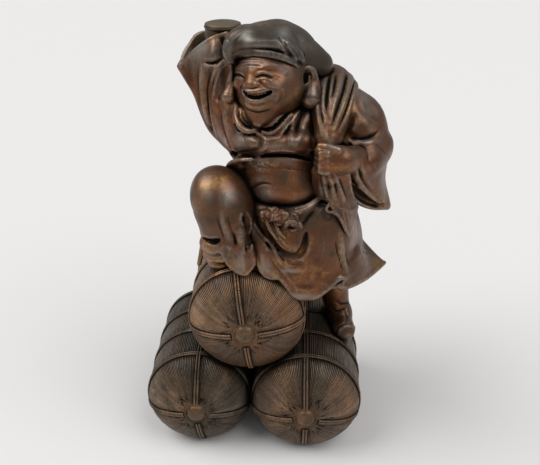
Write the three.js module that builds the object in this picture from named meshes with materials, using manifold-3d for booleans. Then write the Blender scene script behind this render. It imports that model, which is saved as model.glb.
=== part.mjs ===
// A cast bronze figure of the god of good harvests, laughing, with his cap, sack and mallet, on three rice bales.
// Millimetres, +Z up. The figure looks towards -Y, and X runs to the viewer's right.
// The origin is the middle of the whole object's box, on the surface that the bales stand on.

import * as THREE from 'three';
import { MarchingCubes } from 'three/addons/objects/MarchingCubes.js';
import { SimplifyModifier } from 'three/addons/modifiers/SimplifyModifier.js';
import { mergeVertices } from 'three/addons/utils/BufferGeometryUtils.js';
import Module from 'manifold-3d';

const wasm = await Module();
wasm.setup();

// Driving dimensions

const leftBaleRadius = 38.3;
const rightBaleRadius = 39.9;
const topBaleRadius = 40.4;
const baleLength = 128;
const baleDomeDepth = 22; // how far each end of a bale swells past its last rope
const barrelTaper = 0.035; // how much narrower a bale would be at its ends than at its middle, as a share
const baleOverlap = 0.6; // how deep two bales are cast into each other where they touch
const restingFlat = 16; // width of the flat that each lower bale stands on
const topBaleForward = 0.5;
const rightBaleForward = 4;
const hubRadius = 8.5;
const hubRise = 1.6;
const bandWidth = 4.2; // a doubled rope round a bale
const bandRise = 1.1;
const bandCount = 4;
const lineWidth = 4.4; // a doubled rope laid along a bale and over its ends
const lineRise = 1.1;
const figureHeight = 151; // from the crown of the top bale to the top of the cap
const seatGap = 0.3; // between the figure and the bales that it stands on
const figureTriangles = 6300;
const clayCell = 1.8;

// The stack: where each bale's axis lies

// Height of a lower bale's axis above the flat that it stands on.
const axisHeight = (radius) => Math.sqrt(radius ** 2 - (restingFlat / 2) ** 2);
const leftBale = {
  x: -leftBaleRadius + baleOverlap / 2,
  y: 0,
  z: axisHeight(leftBaleRadius),
  radius: leftBaleRadius,
};
const rightBale = {
  x: rightBaleRadius - baleOverlap / 2,
  y: -rightBaleForward,
  z: axisHeight(rightBaleRadius),
  radius: rightBaleRadius,
};

// The top bale lies in the groove between the lower two, sunk into both by the overlap.
function restOn(a, b, radius) {
  const toA = a.radius + radius - baleOverlap;
  const toB = b.radius + radius - baleOverlap;
  const dx = b.x - a.x;
  const dz = b.z - a.z;
  const span = Math.hypot(dx, dz);
  const along = (toA * toA - toB * toB + span * span) / (2 * span);
  const up = Math.sqrt(toA * toA - along * along);
  return { x: a.x + (dx * along - dz * up) / span, z: a.z + (dz * along + dx * up) / span };
}
const topBale = { ...restOn(leftBale, rightBale, topBaleRadius), y: -topBaleForward, radius: topBaleRadius };
const crown = topBale.z + topBaleRadius;

// Solids

function solidOf(geometry) {
  const bare = geometry.index ? geometry.toNonIndexed() : geometry;
  const closed = mergeVertices(
    new THREE.BufferGeometry().setAttribute('position', bare.getAttribute('position')), 1e-3);
  return new wasm.Manifold(new wasm.Mesh({
    numProp: 3,
    vertProperties: closed.attributes.position.array,
    triVerts: new Uint32Array(closed.index.array),
  }));
}

function geometryOf(solid) {
  const mesh = solid.getMesh();
  const positions = new Float32Array(mesh.numVert * 3);
  for (let i = 0; i < mesh.numVert; i++) {
    positions.set(mesh.vertProperties.subarray(i * mesh.numProp, i * mesh.numProp + 3), i * 3);
  }
  const geometry = new THREE.BufferGeometry();
  geometry.setAttribute('position', new THREE.BufferAttribute(positions, 3));
  geometry.setIndex(new THREE.BufferAttribute(mesh.triVerts, 1));
  geometry.computeVertexNormals();
  return geometry;
}

// Straw bales: a barrel with swelling ends, roped round and along

const ropesAlong = 4;
const sidesBetweenRopes = 4; // facets of bare straw between one rope along the bale and the next

// Radius of a bale's bare straw at a distance y in front of (-) or behind (+) its middle.
function strawRadius(y, radius, grow = 0) {
  const half = baleLength / 2 + grow;
  const inDome = Math.max(0, Math.abs(y) - (baleLength / 2 - baleDomeDepth));
  const dome = Math.sqrt(Math.max(0, 1 - (inDome / (baleDomeDepth + grow)) ** 2));
  const barrel = 1 - barrelTaper * (y / half) ** 2;
  return (radius + grow) * barrel * dome;
}

// Half of a bale's profile, from the middle of its hub to the middle of its length, as [radius, distance, rise].
function halfProfile(radius, grow) {
  const half = baleLength / 2 + grow;
  const body = baleLength / 2 - baleDomeDepth;
  const profile = [[0, half + hubRise, 0], [hubRadius + grow, half + hubRise, 0]];
  for (const y of [half - 1.2, half - 0.35 * baleDomeDepth, body + 0.3 * baleDomeDepth]) {
    profile.push([Math.max(hubRadius + grow + 1, strawRadius(y, radius, grow)), y, 0]);
  }
  for (let i = 0; i < bandCount / 2; i++) {
    const y = body - (2 * body * i) / (bandCount - 1);
    for (const side of [1, 0, -1]) {
      const at = y + side * (bandWidth / 2 + grow);
      profile.push([strawRadius(at, radius, grow), at, side === 0 ? bandRise : 0]);
    }
  }
  return profile;
}

// A lathe whose facets crowd together at the ropes along the bale, which stand proud of the straw.
function baleGeometry(radius, grow = 0) {
  const front = halfProfile(radius, grow);
  const rings = [...front.map(([r, y, rise]) => [r, -y, rise]), ...front.reverse()];
  const sides = ropesAlong * sidesBetweenRopes * 1.5;
  const lathe = new THREE.LatheGeometry(rings.map(([r, y]) => new THREE.Vector2(r, y)), sides);
  const position = lathe.getAttribute('position');
  const step = sides / ropesAlong;
  for (let side = 0; side <= sides; side++) {
    const rope = Math.round(side / step);
    const from = side - rope * step;
    for (let ring = 0; ring < rings.length; ring++) {
      const [r, y, rise] = rings[ring];
      const near = Math.min(Math.PI / 8, (lineWidth / 2 + grow) / Math.max(r, hubRadius));
      const spread = (Math.PI / ropesAlong - near) / (step / 2 - 1);
      const away = Math.abs(from) < 1 ? from * near : Math.sign(from) * (near + (Math.abs(from) - 1) * spread);
      const angle = (rope * 2 * Math.PI) / ropesAlong + away;
      const onRope = from === 0 && r > hubRadius + grow ? lineRise : 0;
      const reach = r + Math.max(rise, onRope) * (r > 0 ? 1 : 0);
      const i = side * rings.length + ring;
      position.setXYZ(i, reach * Math.sin(angle), y, reach * Math.cos(angle));
    }
  }
  return lathe;
}

function baleSolid({ x, y, z, radius }, grow = 0) {
  return solidOf(baleGeometry(radius, grow)).translate([x, y, z]);
}

function stackSolid(grow = 0) {
  const wide = 3 * baleLength;
  const floor = new THREE.BoxGeometry(wide, wide, 2 * restingFlat).translate(0, 0, -restingFlat - grow);
  return baleSolid(leftBale, grow).add(baleSolid(rightBale, grow)).add(baleSolid(topBale, grow))
    .subtract(solidOf(floor));
}

// Clay: a figure is built up from eggs, limbs and webs, each blended into what is there, and carved with the same
// shapes.
// Each shape is { distance(x, y, z), low, high }, with low and high the corners of its box.

const boxOf = (points, radii) => ({
  low: [0, 1, 2].map((k) => Math.min(...points.map((p, i) => p[k] - radii[i]))),
  high: [0, 1, 2].map((k) => Math.max(...points.map((p, i) => p[k] + radii[i]))),
});

// An ellipsoid, turned by Euler angles in degrees.
function egg(centre, radii, turn = [0, 0, 0]) {
  const euler = new THREE.Euler(...turn.map(THREE.MathUtils.degToRad), 'ZYX');
  const m = new THREE.Matrix4().makeRotationFromEuler(euler).elements;
  const [rx, ry, rz] = radii;
  const distance = (x, y, z) => {
    const dx = x - centre[0];
    const dy = y - centre[1];
    const dz = z - centre[2];
    const u = (m[0] * dx + m[1] * dy + m[2] * dz) / rx;
    const v = (m[4] * dx + m[5] * dy + m[6] * dz) / ry;
    const w = (m[8] * dx + m[9] * dy + m[10] * dz) / rz;
    const near = Math.hypot(u, v, w);
    return (near * (near - 1)) / Math.max(1e-6, Math.hypot(u / rx, v / ry, w / rz));
  };
  const reach = Math.max(...radii);
  return { distance, ...boxOf([centre], [reach]) };
}

// Gives the function that carries a point from a turned frame of its own to the figure's frame.
function frameAt(origin, turn) {
  const euler = new THREE.Euler(...turn.map(THREE.MathUtils.degToRad), 'ZYX');
  const matrix = new THREE.Matrix4().makeRotationFromEuler(euler).setPosition(...origin);
  return (point) => new THREE.Vector3(...point).applyMatrix4(matrix).toArray();
}

// A flat-ended round block, with its axis given as a unit vector.
function drum(centre, axis, radius, half) {
  const distance = (x, y, z) => {
    const d = [x - centre[0], y - centre[1], z - centre[2]];
    const along = d[0] * axis[0] + d[1] * axis[1] + d[2] * axis[2];
    const across = Math.sqrt(Math.max(0, d[0] ** 2 + d[1] ** 2 + d[2] ** 2 - along ** 2)) - radius;
    const past = Math.abs(along) - half;
    return Math.min(Math.max(across, past), 0) + Math.hypot(Math.max(across, 0), Math.max(past, 0));
  };
  return { distance, ...boxOf([centre], [Math.hypot(radius, half)]) };
}

// A tapering tube through points, with a radius at each.
function limb(points, radii) {
  const distance = (x, y, z) => {
    let nearest = Infinity;
    for (let i = 0; i + 1 < points.length; i++) {
      const [ax, ay, az] = points[i];
      const bx = points[i + 1][0] - ax;
      const by = points[i + 1][1] - ay;
      const bz = points[i + 1][2] - az;
      const along = ((x - ax) * bx + (y - ay) * by + (z - az) * bz) / (bx * bx + by * by + bz * bz);
      const t = Math.min(1, Math.max(0, along));
      const away = Math.hypot(x - ax - t * bx, y - ay - t * by, z - az - t * bz);
      nearest = Math.min(nearest, away - radii[i] - t * (radii[i + 1] - radii[i]));
    }
    return nearest;
  };
  return { distance, ...boxOf(points, radii) };
}

// A sheet of cloth between three corners, with a half thickness at each.
function web(corners, radii) {
  const triangle = new THREE.Triangle(...corners.map((c) => new THREE.Vector3(...c)));
  const point = new THREE.Vector3();
  const nearest = new THREE.Vector3();
  const weights = new THREE.Vector3();
  const distance = (x, y, z) => {
    point.set(x, y, z);
    triangle.closestPointToPoint(point, nearest);
    triangle.getBarycoord(nearest, weights);
    return point.distanceTo(nearest) - weights.x * radii[0] - weights.y * radii[1] - weights.z * radii[2];
  };
  return { distance, ...boxOf(corners, radii) };
}

// A strip of webs between two rails with the same number of points.
function cloth(clay, railA, railB, thickA, thickB, blend) {
  for (let i = 0; i + 1 < railA.length; i++) {
    clay.add(web([railA[i], railA[i + 1], railB[i]], [thickA[i], thickA[i + 1], thickB[i]]), blend);
    clay.add(web([railA[i + 1], railB[i + 1], railB[i]], [thickA[i + 1], thickB[i + 1], thickB[i]]), blend);
  }
}

class Clay extends MarchingCubes {
  constructor(low, high, cell) {
    const span = Math.max(...low.map((v, k) => high[k] - v));
    const cells = Math.ceil(span / cell) + 4;
    super(cells, new THREE.MeshBasicMaterial(), false, false, 200000);
    this.cell = cell;
    this.corner = low.map((v, k) => (v + high[k]) / 2 - (cells / 2) * cell);
    this.field.fill(-10 * cell);
  }

  // Runs change(distance so far, distance to the shape) over the cells near a shape.
  near(shape, margin, change) {
    const first = shape.low.map((v, k) => Math.max(1, Math.floor((v - margin - this.corner[k]) / this.cell)));
    const last = shape.high.map((v, k) =>
      Math.min(this.size - 2, Math.ceil((v + margin - this.corner[k]) / this.cell)));
    for (let k = first[2]; k <= last[2]; k++) {
      for (let j = first[1]; j <= last[1]; j++) {
        for (let i = first[0]; i <= last[0]; i++) {
          const cell = i + this.size * (j + this.size * k);
          const x = this.corner[0] + i * this.cell;
          const y = this.corner[1] + j * this.cell;
          const z = this.corner[2] + k * this.cell;
          this.field[cell] = -change(-this.field[cell], shape.distance(x, y, z));
        }
      }
    }
  }

  add(shape, blend = 3) {
    this.near(shape, blend + 3 * this.cell, (was, to) => {
      const h = Math.max(blend - Math.abs(was - to), 0);
      return Math.min(was, to) - (h * h) / (4 * blend);
    });
  }

  carve(shape, blend = 2) {
    this.near(shape, blend + this.cell, (was, to) => {
      const h = Math.max(blend - Math.abs(was + to), 0);
      return Math.max(was, -to) + (h * h) / (4 * blend);
    });
  }

  // Fills every hollow that no way leads into from outside.
  fillSealedHollows() {
    const open = new Uint8Array(this.field.length);
    const steps = [1, this.size, this.size * this.size].flatMap((step) => [step, -step]);
    const reached = [0];
    open[0] = 1;
    while (reached.length > 0) {
      const cell = reached.pop();
      for (const step of steps) {
        const next = cell + step;
        if (next >= 0 && next < open.length && !open[next] && this.field[next] < 0) {
          open[next] = 1;
          reached.push(next);
        }
      }
    }
    for (let i = 0; i < open.length; i++) {
      if (!open[i] && this.field[i] < 0) this.field[i] = this.cell;
    }
  }

  // Rounds off what is only a cell wide.
  soften() {
    const was = this.field.slice();
    const steps = [1, this.size, this.size * this.size].flatMap((step) => [step, -step]);
    const layer = this.size * this.size;
    for (let i = layer; i < was.length - layer; i++) {
      let around = 0;
      for (const step of steps) around += was[i + step];
      this.field[i] = 0.4 * was[i] + 0.1 * around;
    }
  }

  // The skin at a small depth under the clay's surface, in the units of the shapes.
  skin(depth) {
    this.isolation = depth;
    this.update();
    const positions = this.positionArray.slice(0, this.count * 3);
    const skin = new THREE.BufferGeometry().setAttribute('position', new THREE.BufferAttribute(positions, 3));
    const half = (this.size / 2) * this.cell;
    skin.scale(half, half, half);
    skin.translate(...this.corner.map((v) => v + half));
    return mergeVertices(skin, 1e-4);
  }
}

// The figure, in millimetres at its own pose height, with the crown of the top bale as its zero.
// His right is the viewer's left.

const poseHeight = 151;
const figureScale = figureHeight / poseHeight;

// Where the boot of his left leg stands on the right bale.
const footX = 67;
const bootSole = (() => {
  const across = footX * figureScale - rightBale.x;
  const rest = rightBale.z + Math.sqrt(Math.max(1, rightBaleRadius ** 2 - across ** 2));
  return (rest - crown) / figureScale;
})();

function modelTrunk(clay) {
  clay.add(egg([22, 6, 30], [30, 26, 28]), 4);
  clay.add(egg([2, -4, 22], [20, 22, 22]), 6);
  clay.add(egg([14, -3, 79], [27, 28, 24], [0, -6, 0]), 8);
  clay.add(egg([36, 0, 88], [24, 24, 18]), 6);
  clay.add(egg([18, -9, 60], [30, 29, 16]), 5);
  clay.add(egg([20, -11, 47], [29, 31, 15]), 2.5);
  clay.add(egg([20, 22, 60], [30, 18, 44]), 6);
  clay.add(limb([[14, -2, 90], [13, -6, 106]], [20, 15]), 4);
  clay.add(egg([14, -18, 92], [20, 13, 12]), 4);
  clay.add(egg([24, -30, 38], [20, 9, 9]), 4);
  clay.add(egg([15, 16, 104], [18, 14, 18]), 5);
  // waistband
  clay.add(limb([[-12, -18, 65], [-5, -29, 71], [8, -37, 76], [24, -37, 76], [45, -29, 72]],
    [2.4, 2.4, 2.4, 2.4, 2.4]), 1.5);
  // robe across the chest, which blouses over the waistband
  clay.add(limb([[-9, -20, 78], [6, -33, 83], [24, -33, 83], [41, -25, 81]], [6, 6, 6, 6]), 4);
  clay.add(limb([[33, -22, 98], [30, -33, 89], [26, -37, 81]], [3.4, 3.4, 2.2]), 2.5);
  clay.add(limb([[41, -18, 97], [40, -29, 88], [37, -33, 80]], [3.4, 3.6, 2.2]), 2.5);
  clay.add(limb([[-10, -16, 94], [-7, -27, 88], [-4, -31, 79]], [4, 4, 2.4]), 2.5);
  // collars
  clay.add(limb([[-8, -19, 102], [-8, -25, 99], [-4, -30, 94], [1, -33, 91], [6, -34, 92]],
    [2.4, 2.6, 2.6, 2.4, 2]), 1.5);
  clay.add(limb([[5, -34, 92], [10, -36, 89], [16, -36, 88], [22, -32, 91], [26, -26, 96], [31, -19, 100]],
    [2.2, 2.6, 2.8, 2.6, 2.4, 2.2]), 1.5);
  clay.add(limb([[2, -30, 96], [7, -32, 94], [13, -33, 93], [20, -29, 98]], [2.2, 2.2, 2.2, 2.2]), 1.5);
  // sash below the belly, with its knot
  clay.add(limb([[6, -36, 40], [18, -41, 35], [32, -40, 36], [46, -30, 45]], [2.6, 3, 3, 3]), 2);
  clay.add(egg([23, -42, 32], [11, 5, 5.5], [0, 12, 0]), 2);
}

function modelSack(clay) {
  clay.add(egg([24, 42, 50], [36, 25, 38], [0, -8, 0]), 6);
  clay.add(limb([[34, 42, 80], [46, 26, 102], [54, 10, 109], [53, -8, 104], [50, -22, 94], [49, -34, 80]],
    [20, 14, 11, 9.5, 8, 6]), 4);
  clay.add(limb([[62, 14, 106], [63, 2, 106], [60, -12, 98], [54, -28, 86]], [6, 6, 5, 4]), 2);
  clay.add(limb([[43, 14, 110], [44, 0, 111], [43, -14, 104], [45, -30, 88]], [6, 5, 5, 3.5]), 2);
  // folds that run from its neck down over its back, as [turn round the sack, length]
  for (const [around, reach] of [[-62, 70], [-34, 95], [-8, 80], [20, 100], [46, 75], [72, 60]]) {
    const fold = [10, 30, 55, reach].map((down) => {
      const a = THREE.MathUtils.degToRad(around);
      const d = THREE.MathUtils.degToRad(down);
      const x = 30 - 0.1 * down + 35 * Math.sin(d) * Math.sin(a);
      return [x, 42 + 25 * Math.sin(d) * Math.cos(a), 50 + 38 * Math.cos(d)];
    });
    clay.add(limb(fold, [3.6, 3.4, 3, 1.6]), 3);
  }
  // mouth of the sack, flaring below the fist
  const neck = [[43, -36, 67], [49, -41, 70], [60, -36, 66]];
  const throat = [[43, -34, 56], [50, -40, 58], [64, -31, 52]];
  const hem = [[44, -31, 45], [53, -36, 39], [64, -31, 18]];
  cloth(clay, neck, throat, [4, 4.5, 4], [2.6, 3, 2.6], 2);
  cloth(clay, throat, hem, [2.6, 3, 2.6], [2, 2.2, 2], 2);
  clay.add(web([[64, -31, 52], [64, -31, 18], [71, -20, 34]], [2.6, 2, 2.2]), 2);
  clay.add(limb([[51, -41, 66], [49, -40, 52], [48, -37, 42]], [2.6, 2.6, 2.4]), 1.5);
  clay.add(limb([[56, -39, 66], [59, -38, 48], [63, -33, 24]], [3, 2.6, 2.4]), 1.5);
}

function modelLeftArm(clay) {
  clay.add(limb([[58, 4, 97], [73.5, 6, 88], [80, 0, 70]], [13, 13, 12]), 5);
  clay.add(limb([[79, -4, 66], [68, -28, 68]], [11, 9]), 5);
  clay.add(egg([64, -8, 84], [13, 14, 18]), 4);
  // sleeve hanging from the forearm, hollow towards the front
  cloth(clay, [[85, 2, 72], [82, -14, 66], [66, -30, 66]], [[83, -1, 42], [91, -4, 30], [66, -24, 40]],
    [8, 7, 6], [4, 3, 3], 4);
  clay.add(web([[70, 4, 70], [66, -18, 44], [83, 2, 42]], [8, 5, 5]), 4);
  clay.carve(limb([[64, -38, 54], [75, -27, 46], [86, -12, 35]], [3.4, 4.6, 3]), 1.5);
  clay.add(limb([[70, -33, 72], [79, -23, 58], [89, -7, 31]], [3.2, 2.8, 2.4]), 2);
  clay.add(limb([[86, -8, 76], [86, -9, 58], [89, -4, 36]], [3.6, 3, 2.4]), 2.5);
  clay.carve(limb([[60, -26, 90], [66, -22, 82], [76, -18, 78], [84, -13, 77]], [1.8, 2.8, 3, 1.6]), 2);
  clay.add(limb([[66, -8, 98], [76, -12, 90], [83, -8, 80]], [2.4, 3, 2.4]), 4);
  // forearm and fist
  clay.add(limb([[69, -30, 73], [54, -38, 75]], [8, 7.2]), 2);
  clay.add(egg([51, -38.5, 74.5], [8, 7, 9.5]), 2);
  for (let finger = 0; finger < 4; finger++) {
    const h = 81.5 - 4.3 * finger;
    clay.add(limb([[51, -45.5, h], [44.5, -44, h + 0.5], [42.5, -39, h + 0.8]], [2.5, 2.4, 2.3]), 0.8);
  }
  clay.add(limb([[58, -41, 82], [52, -42, 85.5], [47, -40.5, 87]], [3.2, 2.8, 2.5]), 1.2);
}

function modelRightArm(clay) {
  clay.add(limb([[-6, 4, 86], [-16, 8, 104], [-14, 14, 118]], [15, 11, 8]), 5);
  // front sheet of the sleeve, from its thin rim down to his side
  const rim = [[-45, 9, 119], [-39, 4, 129], [-29, 0, 138], [-22, -2, 142], [-15, -2, 143]];
  const forearm = [[-42, 8, 113], [-33, 1, 121], [-26, -5, 127], [-19, -8, 131], [-13, -8, 132]];
  const upperArm = [[-36, 5, 103], [-29, -4, 109], [-23, -9, 112], [-17, -12, 114], [-12, -12, 116]];
  const armpit = [[-27, 2, 89], [-23, -8, 91], [-19, -14, 95], [-13, -17, 98], [-9, -18, 99]];
  const side = [[-15, -4, 75], [-12, -15, 78], [-9, -21, 81], [-6, -25, 85], [-3, -27, 88]];
  const rails = [rim, forearm, upperArm, armpit, side];
  const thick = [2, 2.8, 3.4, 3.4, 3.6];
  for (let i = 0; i + 1 < rails.length; i++) {
    cloth(clay, rails[i], rails[i + 1], Array(5).fill(thick[i]), Array(5).fill(thick[i + 1]), 3);
  }
  clay.add(limb([[-45, 9, 119], [-37.5, 8, 105], [-30, 4, 94], [-26, 1, 83], [-17, -4, 75], [-11, -8, 68]],
    [2, 2.2, 2.4, 2.6, 3, 5]), 3);
  // back sheet, and the hollow that opens upwards between the two
  cloth(clay, [[-45, 10, 120], [-43, 13, 126], [-38, 19, 131], [-32, 26, 136], [-14, 30, 135]],
    [[-33, 10, 103], [-29, 19, 108], [-23, 26, 111], [-16, 29, 112], [-8, 27, 112]],
    [2, 2, 2, 2, 2.4], [3, 3, 3, 4, 5], 3);
  cloth(clay, [[-33, 10, 103], [-29, 19, 108], [-23, 26, 111], [-16, 29, 112], [-8, 27, 112]],
    [[-17, 6, 79], [-14, 12, 82], [-11, 17, 86], [-8, 22, 88], [-3, 24, 90]],
    [3, 3, 3, 4, 5], [4, 5, 6, 6, 6], 3);
  clay.carve(web([[-37, 14, 125], [-22, 16, 142], [-19, 14, 108]], [1.5, 7, 3.5]), 1.5);
  // folds
  clay.carve(limb([[-28, -7, 127], [-24, -10, 127], [-20, -11, 129], [-17, -11, 132]], [1.4, 2, 2, 1.4]), 1.2);
  clay.carve(limb([[-25, -9, 123], [-27, -10, 110], [-27, -10, 97], [-24, -14, 82]], [1.2, 2.2, 2.2, 1.6]), 2);
  clay.carve(limb([[-15, -13, 125], [-20, -15, 117], [-21, -16, 104], [-20, -18, 90]], [1.2, 2, 2, 1.4]), 2);
  clay.add(limb([[-17, -10, 127], [-23, -10, 118], [-25, -9, 103], [-23, -13, 88], [-19, -18, 75]],
    [2, 2.4, 2.4, 2.6, 2.2]), 2);
  clay.add(limb([[-28, -2, 124], [-30, -4, 111], [-30, -3, 98], [-27, -6, 84]], [1.8, 2.6, 2.6, 2.2]), 2);
}

function modelMallet(clay) {
  clay.add(limb([[-13, 26, 120], [-15, 22, 130]], [7.5, 8.5]), 2);
  clay.add(drum([-17, 18, 134.5], [0, 0, 1], 12.5, 9.5), 1);
  clay.add(limb([[-17, 22, 132], [4, 36, 124]], [3.2, 3.2]), 1.5);
  clay.add(egg([-5, 29, 127], [8, 7, 7]), 2);
}

function modelRightLeg(clay) {
  clay.add(limb([[10, -2, 32], [-12, -26, 40]], [22, 21]), 5);
  clay.add(egg([-16, -31, 42], [22.5, 21.5, 23.5]), 4);
  clay.add(limb([[-16, -33, 32], [-16, -36, 16]], [20, 14]), 4);
  clay.carve(limb([[-4, -56, 30], [0, -46, 10]], [2.5, 4]), 3);
  // gathered hem with its points, and the shoe
  const gathers = [[-31, -34, 14], [-21, -46, 18], [-12, -50, 19], [0, -46, 17]];
  cloth(clay, gathers, [[-30, -36, 5], [-18, -46, 5], [-4, -50, -2], [2, -46, 6]],
    [4, 4, 4, 4], [2.4, 2.4, 2.2, 2.2], 3);
  clay.add(limb(gathers, [2.6, 3, 3.2, 2.8]), 2);
  clay.carve(egg([-25, -46, 19], [7, 6, 2.6], [0, 12, 0]), 1.5);
  clay.add(limb([[-12, -48, 34], [-13, -50, 22], [-8, -50, 8], [-3, -46, -4]], [2.6, 2.8, 2.8, 2]), 2.5);
  clay.add(limb([[-24, -46, 30], [-20, -48, 20], [-13, -50, 12]], [2.4, 2.6, 2.4]), 2.5);
  clay.carve(limb([[-25, -48, 8], [-17, -52, 8]], [2.6, 2.2]), 1.5);
  clay.add(egg([-24, -38, 2], [8, 12, 5]), 2);
  clay.add(limb([[-31, -28, 8], [-29, -36, 0]], [3.6, 3]), 3);
}

function modelLeftLeg(clay) {
  clay.add(limb([[46, 2, 10], [56, 8, -26], [footX - 5, 10, bootSole + 18]], [20, 13, 9.5]), 4);
  clay.add(limb([[footX - 3, 18, bootSole + 7], [footX - 2, 6, bootSole + 12]], [8.5, 9]), 4);
  clay.add(limb([[footX - 2, 6, bootSole + 8], [footX + 1, -8, bootSole + 6]], [8.5, 8]), 4);
}

function modelSkirt(clay) {
  clay.add(egg([38, -4, 12], [32, 35, 34]), 6);
  cloth(clay, [[3, -34, 34], [20, -38, 30], [44, -36, 24], [62, -14, 24], [66, 8, 24]],
    [[6, -43, 6], [22, -45, -8], [40, -42, -20], [60, -24, -12], [71, 4, -4]],
    [5, 5, 5, 5, 5], [5, 4, 3.2, 4, 4], 4);
  cloth(clay, [[40, -42, -18], [58, -28, -8], [69, -4, -5], [69, 10, -4]],
    [[44, -43, -21], [64, -26, -20], [86, -4, -22], [93, 4, -21]], [4, 4, 4, 4], [3, 2.6, 2.4, 2.2], 4);
  // hem: a wavy roll from the apron round to the tip that flies out behind
  clay.add(limb([[5, -43, 12], [9, -47, -2], [19, -47, -5], [27, -46, -16], [36, -44, -22], [46, -44, -23],
    [56, -38, -20], [61, -34, -12], [66, -28, -22], [78, -14, -25], [95, 4, -23]],
  [3.2, 3, 2.8, 2.8, 2.8, 2.8, 2.6, 2.6, 2.6, 2.4, 2]), 2);
  // hem at the back
  const seatOfRobe = [[67, 10, 20], [44, 34, 16], [10, 34, 16], [-10, 20, 20]];
  const backOfKnees = [[70.5, 9, 0], [49, 36, 0], [14, 38, 8], [-10, 26, 12]];
  cloth(clay, seatOfRobe, backOfKnees, [5, 6, 6, 5], [3.6, 4.5, 4.5, 4], 4);
  cloth(clay, backOfKnees, [[88, 7, -21], [54, 38, -16], [18, 40, 4], [-8, 30, 6]], [3.6, 4.5, 4.5, 4],
    [2.4, 3, 3, 3], 4);
  for (const [top, foot] of [[[60, 20, 24], [72, 20, -16]], [[44, 32, 20], [52, 38, -14]],
    [[24, 36, 20], [30, 42, -4]]]) {
    clay.add(limb([top, foot], [3, 3.4]), 5);
  }
  // apron: a tongue with a deep groove round it, and the lip of a longer one below
  clay.add(egg([23, -41, 25], [12, 6, 18]), 3);
  clay.carve(limb([[12, -45, 35], [13, -48, 29], [18, -49, 21], [23, -49, 14], [29, -48, 10], [34, -47, 13],
    [37, -46, 19], [37, -44, 25]], [1.2, 1.8, 2.6, 3, 3, 2.6, 2.2, 1.4]), 1.5);
  clay.add(limb([[4, -42, 30], [9, -46, 20], [14, -48, 13], [20, -49, 6], [28, -49, 1], [37, -46, 6], [40, -44, 14]],
    [2.4, 2.8, 2.8, 2.6, 2.6, 2.6, 2]), 2);
  clay.add(limb([[48, -36, 34], [55, -33, 12], [61, -27, -14]], [3, 3.4, 3]), 4);
  clay.add(limb([[64, -14, 30], [68, -12, 8], [74, -8, -18]], [3, 3.4, 3]), 4);
}

function modelHead(clay) {
  const turn = [-12, -12, -22];
  const on = frameAt([14, -8, 117], turn);
  clay.add(egg(on([0, 0, 0]), [23.5, 24, 25], turn), 3);
  clay.add(egg(on([0, -9, -9]), [18, 15, 13], turn), 5);
  clay.add(limb([[9, -20, 105], [7, -25, 100], [6, -29, 96]], [14, 9, 4.5]), 6);
  // ball cheeks, brows and narrowed eyes
  clay.add(egg([-7, -18, 117], [5.5, 5.5, 6]), 2);
  clay.add(egg([14.5, -29, 120], [8.5, 8, 8]), 3);
  clay.add(limb([[-12, -6, 121], [-8, -14, 126], [-3, -22, 126]], [1.6, 2, 1.6]), 1.5);
  clay.add(limb([[5, -27, 128], [10, -28, 130], [16, -28, 131], [22, -27, 128]], [1.6, 2.2, 2.2, 1.6]), 1.5);
  clay.carve(limb([[-12, -13, 121], [-7, -20, 122.5], [-2, -26, 122]], [1, 1.6, 1]), 1);
  clay.carve(limb([[5, -30.5, 124], [10, -32.5, 125.5], [15, -33.5, 125]], [1, 1.7, 1]), 1);
  // nose
  clay.add(limb([[1, -25, 128], [1, -28.5, 124], [1, -31.5, 120.5]], [2, 2.6, 3.6]), 2);
  clay.add(egg([-2.5, -27, 119.5], [2.6, 2.6, 2.2]), 1.2);
  clay.add(egg([4.5, -31, 120], [2.8, 2.6, 2.2]), 1.2);
  // open mouth between its lips
  clay.carve(limb([[-3, -29, 114.5], [1, -33.5, 114], [6, -35, 113.5], [10, -35.5, 114.5], [15, -35.5, 117]],
    [1.2, 2.4, 2.8, 2.4, 1.2]), 1);
  clay.add(limb([[-4, -26, 115.5], [-1, -31, 117], [7, -34, 118], [12, -34.5, 118.5], [16, -34.5, 118.5]],
    [1.4, 1.7, 1.7, 1.7, 1.4]), 1);
  clay.add(limb([[-3, -29, 112.5], [1, -32.5, 110.5], [6, -34.5, 109.5], [11, -34.5, 111], [15, -34, 114.5]],
    [1.4, 2, 2, 2, 1.4]), 1.2);
  // ears, with their long lobes
  clay.add(egg([35, -12, 118.5], [4.5, 5, 8], [0, 12, 0]), 1.5);
  clay.add(limb([[32, -17, 120], [32, -15, 124], [35, -12.5, 126], [38, -12, 123], [40, -13, 118], [40, -14, 113]],
    [2, 2.2, 2.4, 2.4, 2.4, 2.8]), 1);
  clay.carve(egg([35, -18, 120], [2.6, 6, 5.2], [0, 10, 0]), 1);
  clay.add(limb([[38, -15, 113], [38, -17, 106.5]], [4.8, 6.3]), 1.5);
  clay.add(limb([[-12, -11, 114], [-13, -13, 111], [-13, -14, 106]], [2.8, 4, 4.9]), 1.2);
}

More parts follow.
